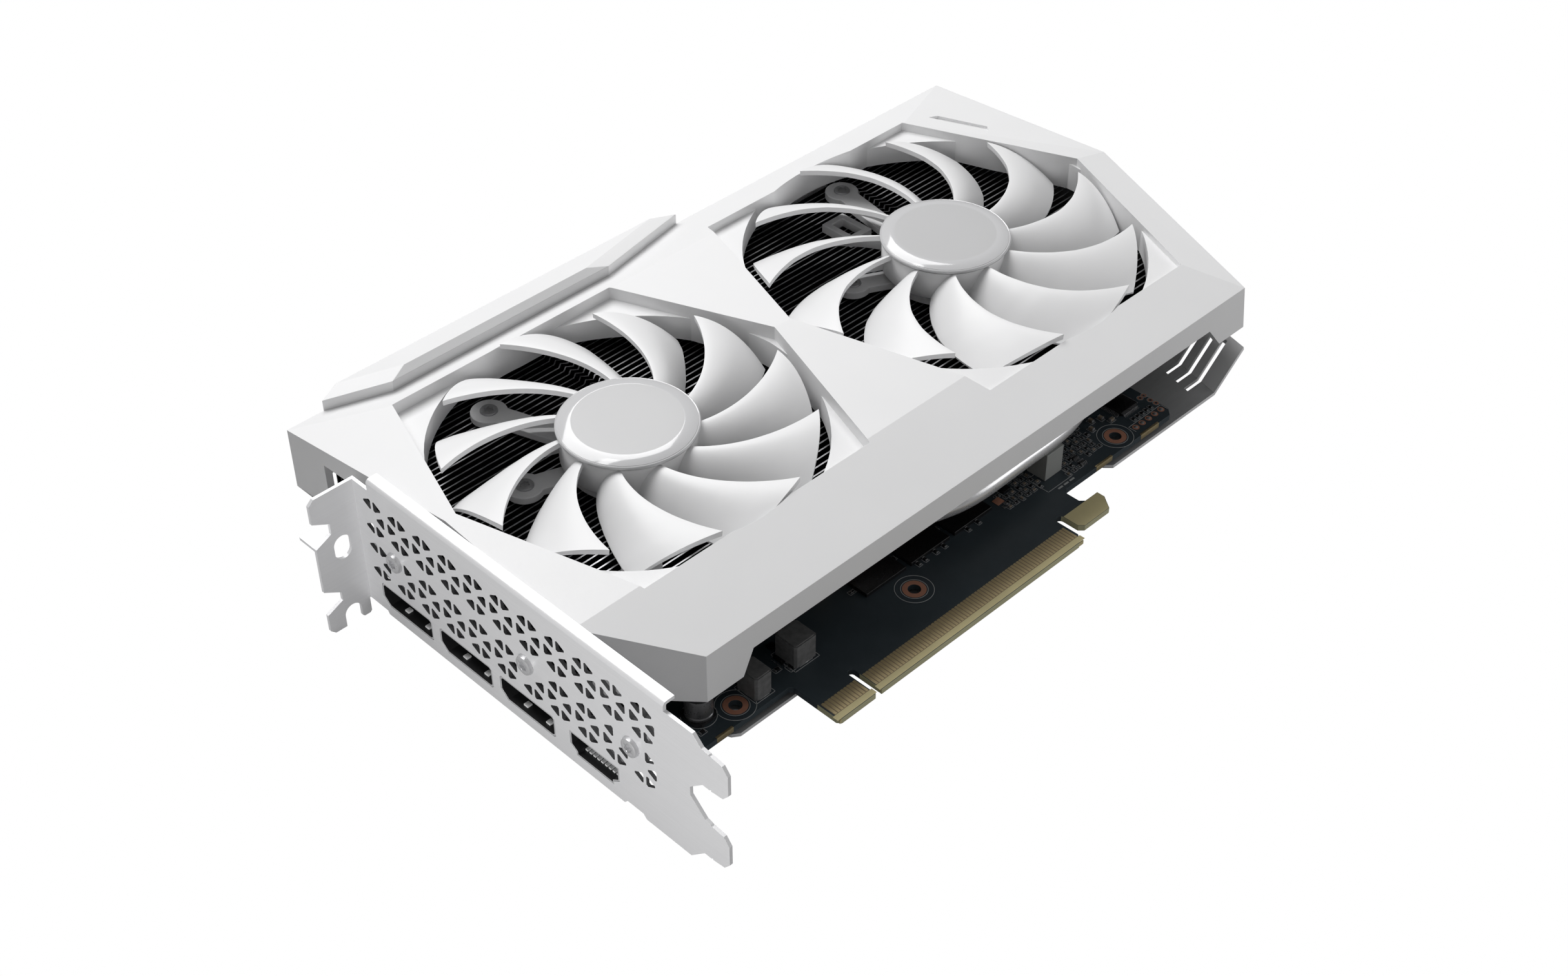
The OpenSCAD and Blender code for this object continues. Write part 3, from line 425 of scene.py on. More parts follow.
def build_rotor(name, hub, tip_r, first_tip, lead, wide, heights, dive, body, cad):
    """A ring of blades on a thin-walled hub cup."""
    bm = bmesh.new()
    rows, around, section = blade_grid(lead, wide, tip_r, first_tip, heights, dive)
    for b in range(BLADES):
        turn = b * 360 / BLADES

        def point(i, j):
            r, a, z = section(i, j)
            a = math.radians(a + turn)
            return (hub[0] + r * math.cos(a), hub[1] + r * math.sin(a), z)

        grid = quad_grid(bm, rows, around, point, closed=True)
        bm.faces.new(grid[0][::-1])
        bm.faces.new(grid[-1])
    lathe(bm, [(HUB_R - HUB_WALL, HUB_LOW + 0.2), (HUB_R - 0.2, HUB_LOW), (HUB_R, HUB_LOW + 0.25),
               (HUB_R, HUB_TOP - 0.2), (HUB_R - 0.15, HUB_TOP), (HUB_R - HUB_WALL, HUB_TOP),
               (HUB_R - HUB_WALL, HUB_LOW + 0.2)], hub)
    piece = add_piece(name, bm, ["blade"], body, 40, (cad,))
    round_edges(piece, 0.5, 4, 40)


# Each blade's edge by radius: the angle of its leading edge and how far it reaches back
FRONT_LEAD = [(15.8, -34.3), (22, -26.2), (27, -20.0), (32, -14.0), (38, -7.2), (44.6, 0)]
FRONT_WIDE = [(15.8, 21), (27, 21.6), (32.5, 23), (37, 24.6), (41, 26.2), (44.6, 27)]
REAR_LEAD = [(15.8, -27.7), (22, -25.4), (28, -21.8), (34, -17.4), (40, -11.6), (46, -4.7),
             (50, 0)]
REAR_WIDE = [(15.8, 20), (31, 20.4), (40, 21.4), (45, 22.6), (50, 23.7)]
build_rotor("front_rotor", FRONT_HUB, 44.45, 26.9, FRONT_LEAD, FRONT_WIDE, (32.8, 34.0), 2.2,
            "front_fan", "front_fan_rotor")
build_rotor("rear_rotor", REAR_HUB, 49.7, 28.7, REAR_LEAD, REAR_WIDE, (33.1, 32.9), 1.7,
            "rear_fan", "rear_fan_rotor")


CAP_R = 17.0
CAP_LOW, CAP_TOP = 33.05, 35.0
DISC_R = 13.2


def build_cap(name, hub, body, cad):
    """A flat disc with a wide glossy shoulder, a fine seam and a thin lower lip."""
    shoulder = [(DISC_R + 3.2 * t, CAP_TOP - 0.75 * t * t)
                for t in (0.15, 0.35, 0.55, 0.75, 0.9, 1)]
    lip = arc((CAP_R - 0.55, 33.7), 0.55, 60, -30, 5)
    seam = [(16.5, 34.12), (16.42, 34.16)]
    profile = ([(0, CAP_LOW), (CAP_R - 0.6, CAP_LOW)] + lip[::-1] + seam + shoulder[::-1]
               + [(DISC_R, CAP_TOP), (8, CAP_TOP), (0, CAP_TOP)])
    kinds = [0] * (len(profile) - 3) + [1, 1]
    bm = bmesh.new()
    lathe(bm, profile, hub, 128, kinds)
    add_piece(name, bm, ["cap_rim", "cap_disc"], body, 30, (cad,))


build_cap("front_cap", FRONT_HUB, "front_fan", "front_hub_cap")
build_cap("rear_cap", REAR_HUB, "rear_fan", "rear_hub_cap")

# ---------------------------------------------------------------- shroud, bar, bracket, plate

refined("shroud", "shroud_shell", "card", "white", 0.45)
FAR_Y = 136
BAR_Y = 138
BAR_LOW = 28.2
LIT_X = (-27, 32)


def build_light_bar():
    """The long bar over the far edge: bent ends, a stepped top and a plain apron below."""
    low = [(x, y, BAR_LOW) for x, y in ((-47.2, FAR_Y), (-32.2, 128.6), (35.7, 128.6),
                                        (66, FAR_Y), (58.5, BAR_Y), (-41.6, BAR_Y))]
    step = [(-47.2, FAR_Y, 32.9), (-32.2, 128.2, 34.8), (35.7, 128.2, 34.8), (66, FAR_Y, 32.9),
            (58.5, BAR_Y, 34.0), (-41.6, BAR_Y, 34.0)]
    ridge = [(-27, 130.3, 36.0), (30, 130.3, 36.0)]
    bm = bmesh.new()
    a = [bm.verts.new(p) for p in low]
    b = [bm.verts.new(p) for p in step]
    c = [bm.verts.new(p) for p in ridge]
    bm.faces.new(a[::-1])
    for i in range(6):
        j = (i + 1) % 6
        bm.faces.new((a[i], a[j], b[j], b[i]))
    bm.faces.new((b[1], b[2], c[1], c[0]))
    bm.faces.new((b[4], b[5], c[0], c[1]))
    for tri in ((b[0], b[1], c[0]), (b[5], b[0], c[0]), (b[2], b[3], c[1]), (b[3], b[4], c[1])):
        bm.faces.new(tri)
    # The lit part between the bends is a duller diffuser, on the side towards the fans
    bm.normal_update()
    for f in bm.faces:
        middle = f.calc_center_median()
        lit = LIT_X[0] < middle.x < LIT_X[1] and middle.z > BAR_LOW + 0.8 and f.normal.y < 0.1
        f.material_index = 1 if lit else 0
    block(bm, (-41.6, FAR_Y - 0.6, 18), (58.5, BAR_Y, 28.9), 0.4)
    piece = add_piece("light_bar", bm, ["white", "lamp"], "card", 25,
                      ("side_light_bar",))
    round_edges(piece, 0.9, 4, 8)


build_light_bar()
bracket = refined("io_bracket", "slot_bracket", "card", "bracket", 0.12, angle=30)
VENT_Y, VENT_Z = (6, 107), (5.8, 31)
# Painted shade: the vent walls in the bracket get the near-black colour of the shade inside the
# holes
recolour(bracket, "vent_painted_shade",
         lambda n, c: abs(n.x) < 0.4 and BRACKET_X - 0.1 < c.x < BRACKET_X + 1
         and VENT_Y[0] < c.y < VENT_Y[1] and VENT_Z[0] < c.z < VENT_Z[1])
panel = refined("backplate", "back_panel", "card", "plate", 0.18, angle=20)
LOW_EDGE_Y, TAIL_FOLD_X = 22, 146
# Painted reflection: the backplate's low edge faces (a bare cut edge, made near-white) and the
# upward inner face of its tail fold (made near-white for the white shroud it reflects)
recolour(panel, "pale_metal_and_painted_reflection",
         lambda n, c: n.y < -0.3 and c.y < LOW_EDGE_Y
         or n.z > 0.2 and n.x < -0.2 and c.x > TAIL_FOLD_X)
refined("front_fan_frame", "front_motor_frame", "card", "frame", 0.3, angle=30)
refined("rear_fan_frame", "rear_motor_frame", "card", "frame", 0.3, angle=30)
refined("fan_cable_clip", "cable_clip", "card", "frame", 0.3, angle=30)

# ---------------------------------------------------------------- heatsink

FIN_LOW, FIN_TOP = 7.2, 21.3
FIN_FIRST_Y, FIN_PITCH, FIN_COUNT, FIN_THICK = 25.5, 1.9, 56, 0.4
FIN_JOG = 1.1
# Where fins start higher up: a range of x, a limit in y and the height they start at
BENT_PIPE_X, BENT_PIPE_Y, OVER_PIPE = (18, 120), 37.5, 15.6
INLET_X, INLET_Y, OVER_INLET = (96, 118.6), 108, 10.6


def front_span(y):
    """The fins under the front fan, cut back along the slot side."""
    return (-50 if y >= 32 else -50 + (32 - y) * 11.5 / 12), 58


def rear_span(y):
    """The fins under the rear fan, which follow the slant of the tail."""
    return 62, (150 + (y - 20) * 16 / 56 if y < 76 else 166 - (y - 76) * 4 / 58)


def fin_floor(x, y):
    """The height a fin starts at: higher over the bent pipe and over the power inlet."""
    if BENT_PIPE_X[0] <= x < BENT_PIPE_X[1] and y < BENT_PIPE_Y:
        return OVER_PIPE
    if INLET_X[0] <= x < INLET_X[1] and y > INLET_Y:
        return OVER_INLET
    return FIN_LOW


def fin_rows(name, span, kinks, cad):
    """Lengthwise fins with kinked zones; their upper edges are bare metal."""
    bm = bmesh.new()

    def shift(x):
        for start, end, steps in kinks:
            if start <= x <= end:
                return FIN_JOG if round((x - start) / (end - start) * steps) % 2 else 0.0
        return 0.0

    for k in range(FIN_COUNT):
        y = FIN_FIRST_Y + k * FIN_PITCH
        low_x, high_x = span(y)
        cuts = {low_x, high_x}
        for x in BENT_PIPE_X + INLET_X:
            if low_x < x < high_x and (y < BENT_PIPE_Y or y > INLET_Y):
                cuts.add(x)
        for start, end, steps in kinks:
            cuts |= {start + (end - start) * i / steps for i in range(steps + 1)}
        xs = sorted(cuts)
        for x0, x1 in zip(xs, xs[1:]):
            s0, s1 = shift(x0), shift(x1)
            pts = [(x0, y + s0), (x1, y + s1), (x1, y + s1 + FIN_THICK), (x0, y + s0 + FIN_THICK)]
            faces = prism(bm, pts, fin_floor((x0 + x1) / 2, y), FIN_TOP)
            faces[1].material_index = 1
    add_piece(name, bm, ["fin", "fin_edge"], "card", 20, (cad,))


fin_rows("front_fins", front_span, [(10, 19, 6)], "front_fin_stack")
fin_rows("rear_fins", rear_span, [(117, 123, 4)], "rear_fin_stack")


def smooth_route(points, steps):
    """Points along a smooth curve through the given ones."""
    out = []
    for i in range(len(points) - 1):
        a, b = points[max(i - 1, 0)], points[i]
        c, d = points[i + 1], points[min(i + 2, len(points) - 1)]
        for k in range(steps):
            t = k / steps
            out.append(Vector([0.5 * (2 * b[n] + (c[n] - a[n]) * t
                                      + (2 * a[n] - 5 * b[n] + 4 * c[n] - d[n]) * t * t
                                      + (3 * b[n] - a[n] - 3 * c[n] + d[n]) * t ** 3)
                               for n in range(3)]))
    return out + [Vector(points[-1])]


def tube(bm, route, r):
    """A tube along a route, its ends closed with a small dome."""
    count, sides = len(route), 28

    def ring(i, radius, ahead=0.0):
        h = (route[min(i + 1, count - 1)] - route[max(i - 1, 0)]).normalized()
        side = h.cross(Vector((0, 0, 1))).normalized()
        up = side.cross(h)
        mid = route[i] + h * ahead
        return [bm.verts.new(mid + side * radius * math.cos(2 * math.pi * k / sides)
                             + up * radius * math.sin(2 * math.pi * k / sides))
                for k in range(sides)]

    rings = [ring(0, r * 0.6, -0.3)] + [ring(i, r) for i in range(count)]
    rings.append(ring(count - 1, r * 0.6, 0.3))
    for a, b in zip(rings, rings[1:]):
        for k in range(sides):
            j = (k + 1) % sides
            bm.faces.new((a[k], a[j], b[j], b[k]))
    bm.faces.new(rings[0][::-1])
    bm.faces.new(rings[-1])


PIPE_R = 3
PIPE_Z = 11


def build_pipes():
    """Four straight pipes through the fins and the bent one along the slot side."""
    bm = bmesh.new()
    for y in (50, 59, 68, 77):
        tube(bm, [Vector((x, y, PIPE_Z)) for x in (-44.7, 50, 150.7)], PIPE_R)
    bent = [(24, 33, 9), (33, 31, 9.6), (44, 25.6, 10.4), (55, 22.5, 11), (72, 22.3, 11.4),
            (90, 23, 11.6), (104, 27, 11.6), (116, 33.4, 11.4)]
    tube(bm, smooth_route(bent, 8), PIPE_R)
    add_piece("pipes", bm, ["pipe"], "card", 40, ("heat_pipes",))


build_pipes()

# ---------------------------------------------------------------- screws

FACING = {"up": Matrix.Identity(4), "front": Matrix.Rotation(-math.pi / 2, 4, "Y")}


def screw_head(bm, seat, r, tall, socket_r, facing):
    """A rounded head with a six-lobed recess, drawn from its seat outwards."""
    deep = tall * 0.7
    profile = [(0, -0.2), (r, -0.2), (r, tall * 0.45), (r * 0.93, tall * 0.85), (r * 0.8, tall),
               (socket_r * 1.12, tall), (socket_r, tall - 0.08), (socket_r * 0.95, tall - deep),
               (0, tall - deep)]
    lobes = dict.fromkeys((5, 6, 7), 0.14)
    lathe(bm, profile, seat, 48, None, FACING[facing], lobes)


def screws(name, spots, r, tall, socket_r, facing, material, cad, shank):
    """Screws at their seats; shank is how far each one reaches in, and its radius."""
    bm = bmesh.new()
    reach, width = shank
    for spot in spots:
        screw_head(bm, spot, r, tall, socket_r, facing)
        lathe(bm, [(0, -reach), (width, -reach), (width, 0), (0, 0)], spot, 24, None,
              FACING[facing])
    add_piece(name, bm, [material], "card", 35, (cad,))


EAR_Z = 24


def round_hub(hub, ears):
    """Screw seats on a motor frame, each a distance and an angle from its hub."""
    return [(hub[0] + r * math.cos(math.radians(a)), hub[1] + r * math.sin(math.radians(a)), EAR_Z)
            for r, a in ears]


FRAME_SPOTS = (round_hub(FRONT_HUB, [(38.6, 109), (26, 160), (38.6, -128), (38.6, -20)])
               + round_hub(REAR_HUB, [(45, 80), (25, 152), (45, -80)]))
screws("bracket_heads", [(BRACKET_X, 15.6, 15), (BRACKET_X, 49.5, 15.1), (BRACKET_X, 95.6, 15.1)],
       2.5, 1.1, 1.15, "front", "steel", "bracket_screws", (3.8, 1.45))
screws("frame_heads", FRAME_SPOTS, 2.2, 0.55, 1.05, "up", "dark_steel", "fan_frame_screws",
       (2.2, 1.15))

# ---------------------------------------------------------------- circuit board

PRINT_TALL = 0.03
PRINT_WIDE = 0.16
BOARD_THICK = 1.6
HOOK_SKIN = 0.055
FINGER_END_X, FINGER_EDGE_Y, HOOK_EDGE_Y = 73, 6.8, 9.2
BOARD_HOLES = ((-25.5, 19.5), (30.3, 17.0), (108.7, 19.5))


def line_mark(bm, x0, y0, x1, y1, wide=PRINT_WIDE, z=0.0, material=0, tall=PRINT_TALL):
    """A thin printed line."""
    along = Vector((x1 - x0, y1 - y0)).normalized() * wide / 2
    across = Vector((-along.y, along.x))
    a, b = Vector((x0, y0)) - along, Vector((x1, y1)) + along
    prism(bm, [a - across, b - across, b + across, a + across], z, z + tall, material)


def frame_mark(bm, x0, y0, x1, y1, wide=PRINT_WIDE):
    """A printed rectangle."""
    line_mark(bm, x0, y0, x1, y0, wide)
    line_mark(bm, x0, y1, x1, y1, wide)
    line_mark(bm, x0, y0, x0, y1, wide)
    line_mark(bm, x1, y0, x1, y1, wide)


def ring_mark(bm, centre, r, wide=PRINT_WIDE, tall=PRINT_TALL, material=0):
    """A printed ring whose line runs at radius r."""
    inner, outer = r - wide / 2, r + wide / 2
    lathe(bm, [(inner, 0), (outer, 0), (outer, tall), (inner, tall), (inner, 0)], centre, 72,
          [material] * 4)


def small_part(bm, marks, x, y, long=1.2, wide=0.65, tall=0.45, turned=False, body=0):
    """A soldered chip part with bright ends and a printed outline round it."""
    hx, hy = (wide / 2, long / 2) if turned else (long / 2, wide / 2)
    ends = 0.24
    block(bm, (x - hx, y - hy, 0), (x + hx, y + hy, tall), 0.05, body)
    for side in (-1, 1):
        if turned:
            lo, hi = sorted((y + side * hy * 1.02, y + side * (hy - ends)))
            block(bm, (x - hx * 1.03, lo, 0), (x + hx * 1.03, hi, tall * 1.04), 0.04, 1)
        else:
            lo, hi = sorted((x + side * hx * 1.02, x + side * (hx - ends)))
            block(bm, (lo, y - hy * 1.03, 0), (hi, y + hy * 1.03, tall * 1.04), 0.04, 1)
    gap = 0.28
    frame_mark(marks, x - hx - gap, y - hy - gap, x + hx + gap, y + hy + gap, 0.11)


def leads(bm, start, step, count, out, reach=1.0, wide=0.26):
    """A row of bent pins from a chip's side; out is the direction they point."""
    for k in range(count):
        x, y = start[0] + step[0] * k, start[1] + step[1] * k
        ex, ey = x + out[0] * reach, y + out[1] * reach
        mx, my = x + out[0] * reach * 0.45, y + out[1] * reach * 0.45
        line_mark(bm, x, y, mx, my, wide, 0.42, 1, 0.14)
        line_mark(bm, mx, my, ex, ey, wide, 0.0, 1, 0.14)
        line_mark(bm, mx, my, mx + out[0] * 0.02, my + out[1] * 0.02, wide, 0.0, 1, 0.5)


def build_board_parts():
    """The small soldered parts, and everything printed or plated on the board's face.

    The last number of a small_part call picks its body's material."""
    parts = bmesh.new()
    marks = bmesh.new()
    # Loose parts near the front corner and beside the memory
    for x in (37.4, 39.7, 43.5, 46.5, 55.1, 58.8):
        small_part(parts, marks, x, 22.2, 1.3, 0.7, 0.45, True)
    for x, y in ((34.3, 27.7), (49.3, 27.7), (-11.3, 20.8), (-36.4, 18.7)):
        small_part(parts, marks, x, y, 1.5, 0.9)
    for x in (18.7, 19.6, 20.5):
        small_part(parts, marks, x, 26.6, 0.8, 0.5, 0.3, True)
    # The crowded field on both sides of the small white socket
    for row, y in enumerate((20.4, 21.9, 23.6, 25.3, 27.0)):
        for col in range(7):
            x = 66.5 + 2.25 * col + 0.7 * (row % 2)
            by_chip = 70.6 < x < 74.4 and y > 24.2
            by_copper = x < 70 and 22.5 < y < 25
            if by_chip or by_copper or x < 68 + row * 0.2:
                continue
            small_part(parts, marks, x, y, 1.15, 0.6, 0.4, (row + col) % 3 == 0,
                       (row + col) % 2 * 2)
    for row, y in enumerate((18.2, 19.9, 21.6, 23.3, 25.0, 26.7, 28.4)):
        for col in range(8):
            x = 88.6 + 2.2 * col + 0.8 * (row % 2)
            by_hole = math.dist((x, y), BOARD_HOLES[2]) < 5.6
            by_network = 93 < x < 96.4 and y < 22.5
            if by_hole or by_network or x > 104.6 or (row == 0 and x > 97):
                continue
            small_part(parts, marks, x, y, 1.1, 0.6, 0.4, (row + 2 * col) % 3 == 0,
                       0 if (row + col) % 3 else 2)
    for x, y in ((106.4, 25.4), (108.9, 27.6), (111.6, 26.6), (113.1, 24.2)):
        small_part(parts, marks, x, y, 1.5, 0.9, 0.8, y > 25, 2)
    for col in range(5):
        small_part(parts, marks, 117.4 + 1.75 * col, 20.5, 1.1, 0.55, 0.4, True)
    # Resistor networks and small many-legged chips
    for x, y in ((94.4, 21.2), (94.4, 18.7)):
        block(parts, (x - 0.9, y - 0.5, 0), (x + 0.9, y + 0.5, 0.4), 0.05, 0)
        leads(parts, (x - 0.75, y - 0.45), (0.5, 0), 4, (0, -1), 0.5, 0.22)
        leads(parts, (x - 0.75, y + 0.45), (0.5, 0), 4, (0, 1), 0.5, 0.22)
    block(parts, (71.2, 24.6, 0), (73.9, 27.2, 0.7), 0.08, 3)
    frame_mark(marks, 70.8, 24.2, 74.3, 27.6)
    # The big chip near the tail, with pins on three sides
    block(parts, (116.1, 23.5, 0), (122.7, 30.2, 1.05), 0.12, 3)
    leads(parts, (116.1, 24.1), (0, 0.45), 13, (-1, 0))
    leads(parts, (116.7, 23.5), (0.45, 0), 13, (0, -1))
    leads(parts, (122.7, 24.1), (0, 0.45), 13, (1, 0))
    # Flat chip with pads round it, between the two chokes
    block(parts, (-9.4, 21.0, 0), (-6.0, 24.0, 0.75), 0.08, 3)
    for k in range(9):
        for x, y in ((-9.3 + 0.4 * k, 20.5), (-9.3 + 0.4 * k, 24.5)):
            block(parts, (x, y - 0.12, 0), (x + 0.16, y + 0.12, 0.05), 0, 1)
        for x, y in ((-9.95, 21.0 + 0.36 * k), (-5.45, 21.0 + 0.36 * k)):
            block(parts, (x - 0.12, y, 0), (x + 0.12, y + 0.16, 0.05), 0, 1)
    block(parts, (-8.7, 18.3, 0), (-6.1, 19.8, 0.8), 0.08, 3)
    for x in (-9.3, -5.9):
        block(parts, (x, 18.6, 0), (x + 0.5, 19.5, 0.3), 0.05, 1)
    block(parts, (-8, 26, 0), (-6, 27.8, 0.6), 0.06, 3)
    # Copper square and pads by the memory
    block(parts, (67.0, 22.7, 0), (69.4, 24.9, 0.12), 0.03, 4)
    for x in (67.2, 68.6):
        block(parts, (x, 20.9, 0), (x + 0.8, 21.9, 0.1), 0.03, 1)
    add_piece("small_parts", parts, ["chip", "solder", "part", "chip", "copper"], "card",
              30, ("small_capacitors", "controller_chips"))

    # Printed rings and outlines
    for hole in BOARD_HOLES:
        ring_mark(marks, hole, 3.25)
        ring_mark(marks, hole, 4.7)
        ring_mark(marks, hole, 2.25, 1.3, 0.035, 2)
    for x in (115.3, 117.9, 120.5, 123.1, 125.7):
        ring_mark(marks, (x, 18.05), 0.75, 0.4, PRINT_TALL, 2)
        lathe(marks, [(0, 0.0), (0.55, 0.0), (0.55, 0.1), (0.2, 0.25), (0, 0.25)], (x, 18.05), 24,
              [3] * 4)
    line_mark(marks, 113.9, 16.9, 113.9, 19.3)
    line_mark(marks, 113.9, 19.3, 127.2, 19.3)
    line_mark(marks, 127.2, 16.9, 127.2, 19.3)
    for x, y in ((125.7, 24.8), (127.3, 24.8), (126.9, 22.4), (127.0, 20.6)):
        ring_mark(marks, (x, y), 0.55, 0.3, PRINT_TALL, 2)
        ring_mark(marks, (x, y), 0.85, 0.12)
    frame_mark(marks, -22.0, 16.4, -16.2, 23.6)
    frame_mark(marks, -8.9, 17.3, -1.1, 25.2)
    frame_mark(marks, -9.6, 18.0, -5.3, 20.1)
    frame_mark(marks, 79.6, 17.3, 88.8, 24.2)
    for k in range(3):
        line_mark(marks, 82.6 + 2.2 * k, 16.4, 83.8 + 2.2 * k, 16.4, 0.5)
    ring_mark(marks, (-33.3, 23), 4.1)
    # Gold strips along the board's low edge
    for x0, x1 in ((-35.4, -30.4), (95.6, 102.0), (113.6, 121.0)):
        block(marks, (x0, 14.97, -1.45), (x1, 15.6, 0.04), 0.02, 1)
    # Bare laminate: the bevelled finger edge, between the fingers and the retention hook
    contact_top = max(v.co.y for v in NODES["edge_contacts"].data.vertices
                      if v.co.x < FINGER_END_X * MM) / MM
    for x0, x1 in ((-12.4, -1.1), (1.1, 72.0)):
        block(marks, (x0, 0.02, -1.3), (x1, 0.3, -0.25), 0, 4)
        line_mark(marks, x0 + 0.2, 0.95, x1 - 0.2, 0.95, 1.6, 0.0, 4, 0.02)
        block(marks, (x0 + 0.25, 1.7, -0.002), (x1 - 0.25, contact_top - 0.15, 0.012), 0, 5)
    hook = [(76.3, 3.1), (85.5, 3.1), (88.1, 6.7), (88.1, 8.8), (75.1, 8.8), (75.1, 4.3)]
    for side_z in (0.0, -BOARD_THICK - HOOK_SKIN):
        prism(marks, hook, side_z, side_z + HOOK_SKIN, 4)
    add_piece("board_marks", marks, ["silk", "gold", "copper", "solder", "pad_gold", "finger_gap"],
              "card", 30, ("board_hole_rings",))


build_board_parts()


def build_chokes():
    """Pressed chokes with cut corners, on a thin base with two tabs."""
    bm = bmesh.new()
    spots = [(-19.2, 20, 2.6, 3.3), (-5, 21.2, 3.5, 3.5)]
    spots += [(-20, y, 3.3, 3.3) for y in range(40, 91, 10)]
    spots += [(96, y, 3.3, 3.3) for y in range(50, 91, 10)]
    cut = 0.55
    for x, y, hx, hy in spots:
        outline = [(x - hx + cut, y - hy), (x + hx - cut, y - hy), (x + hx, y - hy + cut),
                   (x + hx, y + hy - cut), (x + hx - cut, y + hy), (x - hx + cut, y + hy),
                   (x - hx, y + hy - cut), (x - hx, y - hy + cut)]
        prism(bm, outline, 0.25, 6.6)
        top = [(x + (px - x) * 0.9, y + (py - y) * 0.9) for px, py in outline]
        prism(bm, top, 6.6, 6.85)
        block(bm, (x - hx * 0.6, y - hy - 0.02, 0), (x + hx * 0.6, y + hy + 0.02, 0.3), 0.05, 1)
    piece = add_piece("choke_blocks", bm, ["choke", "solder"], "card", 30,
                      ("chokes",))
    round_edges(piece, 0.18, 2, 30, harden=False)


def build_cans():
    """Upright capacitors: a rolled can with a grooved foot on a square base."""
    bm = bmesh.new()
    spots = [(-33.3, 23, 3.3, 6.8)] + [(-29, y, 2.7, 6.5) for y in range(42, 93, 10)]
    spots += [(90, y, 2.7, 6.5) for y in range(52, 93, 10)]
    for x, y, r, tall in spots:
        profile = [(0, 0.7), (r * 0.96, 0.7), (r, 1.0), (r, 1.5), (r * 0.93, 1.75), (r, 2.0),
                   (r, tall - 0.45), (r * 0.97, tall - 0.15), (r * 0.88, tall), (r * 0.8, tall),
                   (r * 0.77, tall - 0.12), (0, tall - 0.12)]
        lathe(bm, profile, (x, y), 48)
        c = r * 0.35
        base = [(x - r + c, y - r), (x + r - c, y - r), (x + r, y - r + c), (x + r, y + r),
                (x - r, y + r), (x - r, y - r + c)]
        prism(bm, base, 0.0, 0.8, 1)
    add_piece("can_caps", bm, ["can", "black"], "card", 35, ("tall_capacitors",))


build_chokes()
build_cans()

# ---------------------------------------------------------------- sockets

DISPLAY_WIDE = 18.7
AV_Y, AV_WIDE = 20.3, 16
SOCKET_Z = 1.3


def build_tongues():
    """Socket tongues with rows of contacts, and the springs at each mouth."""
    bm = bmesh.new()
    inner, outer = BRACKET_X + 17.35, BRACKET_X + 1.5
    z, thick = 2.8, 0.7
    for y in DISPLAY_Y:
        block(bm, (outer, y + 2.2, z), (inner, y + DISPLAY_WIDE - 2.2, z + thick), 0.12, 0)
        for k in range(10):
            cy = y + 3.1 + 1.32 * k
            block(bm, (outer + 0.35, cy, z - 0.03), (outer + 9, cy + 0.5, z + 0.02), 0, 1)
        for spot in (3.4, 11.0):
            for low in (3.75, -1.45):
                block(bm, (BRACKET_X + 1.2, y + spot, low),
                      (BRACKET_X + 2.6, y + spot + 1.4, low + 0.5), 0.08, 2)
    block(bm, (outer, AV_Y + 2, z), (inner, AV_Y + AV_WIDE - 2, z + thick), 0.12, 0)
    for k in range(9):
        cy = AV_Y + 2.6 + 1.26 * k
        block(bm, (outer - 0.2, cy, z - 0.05), (outer + 9, cy + 0.55, z + 0.02), 0, 2)
        block(bm, (BRACKET_X + 2, cy, -1.45), (BRACKET_X + 3.4, cy + 0.75, -0.9), 0, 2)
    add_piece("socket_tongues", bm, ["black", "gold", "pale_metal_and_painted_reflection"], "card", 30,
              ("av_socket_tongue", "display_socket_tongues"))


build_tongues()


def darken_socket_insides(piece, middles):
    """Painted shade: colour the inside of each socket shell black, for the shade inside its mouth.
    """
    def inside(n, c):
        mid_y = min(middles, key=lambda m: abs(m - c.y))
        if abs(n.x) > 0.5:
            return n.x < 0 and c.x > BRACKET_X + 3
        return c.x > BRACKET_X + 0.1 and n.y * (mid_y - c.y) + n.z * (SOCKET_Z - c.z) > 0
    recolour(piece, "black", inside)


# Painted shade: the insides of the socket shells are coloured black for the shade in their mouths
darken_socket_insides(refined("av_socket_shell", "av_shell", "card", "socket", 0.08, angle=30),
      [AV_Y + AV_WIDE / 2])
darken_socket_insides(refined("display_socket_shells", "display_shells", "card", "socket", 0.08,
              angle=30), [y + DISPLAY_WIDE / 2 for y in DISPLAY_Y])
refined("lamp_connector", "lamp_socket", "card", "connector", 0.15, angle=30)
refined("fan_headers", "fan_sockets", "card", "header", 0.12, angle=30)
refined("power_inlet", "power_socket", "card", "black", 0.2, angle=30)
refined("memory_chips", "memory", "card", "chip", 0.1, angle=30)
refined("mosfets", "switches", "card", "chip", 0.08, angle=30)
board = refined("pcb", "circuit_board", "card", "board", 0.06, angle=40, merge=0.01)
recolour(board, "laminate",
         lambda n, c: abs(n.z) < 0.5
         and c.y < (HOOK_EDGE_Y if c.x > FINGER_END_X else FINGER_EDGE_Y), FINGER_EDGE_Y)


# CAD nodes that keep their shape, by the material they get
KEPT_NODES = {
    "gold": ["edge_contacts", "power_pins"],
    "steel": ["backplate_screws", "retention_screws", "retention_springs", "shroud_screws",
              "front_fan_shaft", "rear_fan_shaft"],
    "black": ["bracket_mounts"],
    "copper": ["cold_plate"],
    "green": ["gpu_package"],
    "silicon": ["gpu_die"],
    "rubber": ["thermal_pads"],
    "winding": ["front_stator", "rear_stator"],
    "magnet": ["front_magnet_ring", "rear_magnet_ring"],
    "bronze": ["front_bearing", "rear_bearing", "heatsink_standoffs"],
}
for material, names in KEPT_NODES.items():
    for name in names:
        slots = NODES[name].data.materials
        slots.clear()
        slots.append(M[material])

# ---------------------------------------------------------------- stage, light, camera

FLOOR_HALF = 9000
FLOOR_Z = -9.0


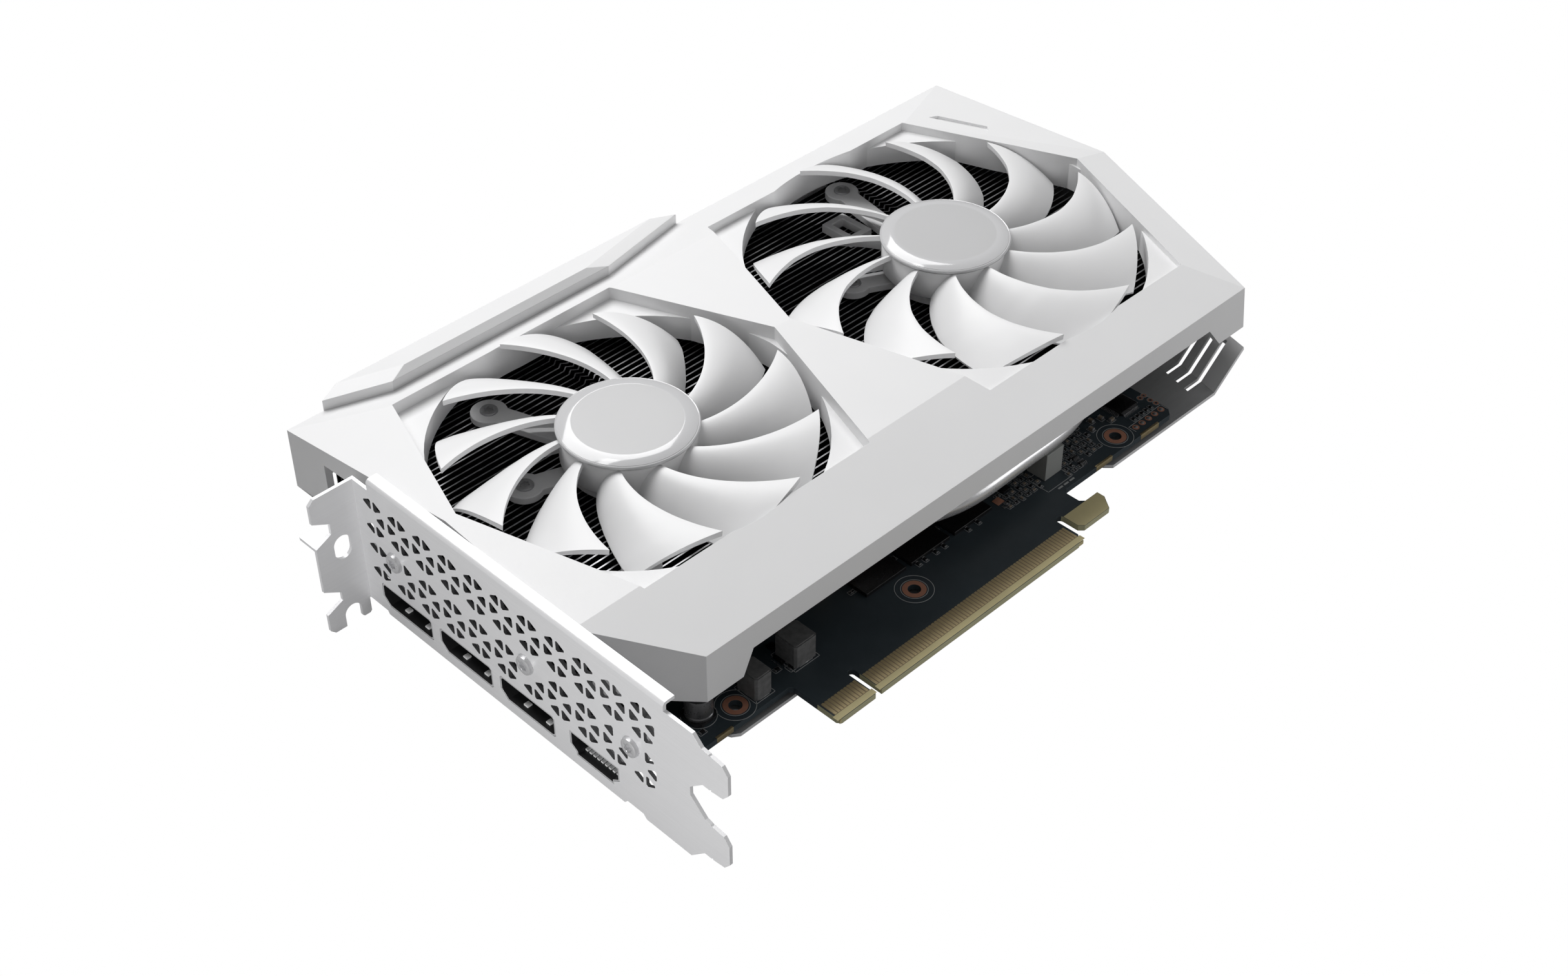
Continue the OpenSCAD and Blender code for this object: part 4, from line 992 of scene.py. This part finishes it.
def stage_floor():
    """A wide dull floor that the camera sees as plain white."""
    bm = bmesh.new()
    quad_grid(bm, 2, 2, lambda i, j: (FLOOR_HALF * (2 * i - 1), FLOOR_HALF * (2 * j - 1), FLOOR_Z))
    mesh = bpy.data.meshes.new("floor")
    bm.to_mesh(mesh)
    bm.free()
    mesh.transform(Matrix.Scale(MM, 4))
    floor = bpy.data.objects.new("floor", mesh)
    bpy.context.scene.collection.objects.link(floor)
    m, tree, shader = new_material("floor_look")
    path = node(tree, "ShaderNodeLightPath")
    glow = node(tree, "ShaderNodeEmission", Strength=1.0)
    glow.inputs["Color"].default_value = (1, 1, 1, 1)
    dull = node(tree, "ShaderNodeBsdfDiffuse")
    dull.inputs["Color"].default_value = (0.42, 0.42, 0.42, 1)
    mix = node(tree, "ShaderNodeMixShader")
    tree.links.new(path.outputs["Is Camera Ray"], mix.inputs["Fac"])
    tree.links.new(dull.outputs["BSDF"], mix.inputs[1])
    tree.links.new(glow.outputs["Emission"], mix.inputs[2])
    out = tree.nodes["Material Output"]
    tree.links.new(mix.outputs["Shader"], out.inputs["Surface"])
    mesh.materials.append(m)


stage_floor()

world = bpy.context.scene.world or bpy.data.worlds.new("studio")
bpy.context.scene.world = world
world.use_nodes = True
background = world.node_tree.nodes.get("Background")
background.inputs["Color"].default_value = (1, 1, 1, 1)
background.inputs["Strength"].default_value = 0.26


def area_light(name, position, target, size, power):
    """A soft light in metres and watts, aimed at a target and hidden from the camera."""
    lamp = bpy.data.lights.new(name, "AREA")
    lamp.shape = "RECTANGLE"
    lamp.size, lamp.size_y = size
    lamp.energy = power
    holder = bpy.data.objects.new(name, lamp)
    bpy.context.scene.collection.objects.link(holder)
    holder.location = position
    holder.rotation_euler = (Vector(target) - Vector(position)).to_track_quat("-Z", "Y").to_euler()
    holder.visible_camera = False
    return holder


CENTRE = (0.055, 0.075, 0.02)
area_light("key", (0.11, 0.60, 0.75), CENTRE, (0.9, 0.5), 7.0)
area_light("fill", (0.55, -0.45, 0.10), (0.14, 0.02, 0.02), (0.4, 0.3), 1.05)
area_light("glint", (-0.02, 0.33, 0.82), CENTRE, (0.34, 0.1), 0.7)

# A small light for the bracket and its sockets alone
near = area_light("bracket_fill", (-0.26, -0.05, 0.03), (-0.059, 0.02, 0.01), (0.1, 0.1), 0.31)
group = bpy.data.collections.new("bracket_light_group")
for piece in bpy.data.objects:
    if piece.name.startswith(("slot_bracket", "bracket_heads", "display_shells", "av_shell",
                              "socket_tongues")):
        group.objects.link(piece)
near.light_linking.receiver_collection = group

camera_data = bpy.data.cameras.new("camera")
camera_data.lens = 50.0
camera_data.sensor_width = 36.0
camera_data.clip_start = 0.01
camera = bpy.data.objects.new("camera", camera_data)
bpy.context.scene.collection.objects.link(camera)
HEADING, DIP = math.radians(45.0), math.radians(40.09)
forward = Vector((math.sin(HEADING) * math.cos(DIP), math.cos(HEADING) * math.cos(DIP),
                  -math.sin(DIP)))
camera.location = (-0.256238, -0.226398, 0.346351)
camera.rotation_euler = forward.to_track_quat("-Z", "Y").to_euler()
bpy.context.scene.camera = camera
bpy.context.scene.view_settings.view_transform = "Standard"
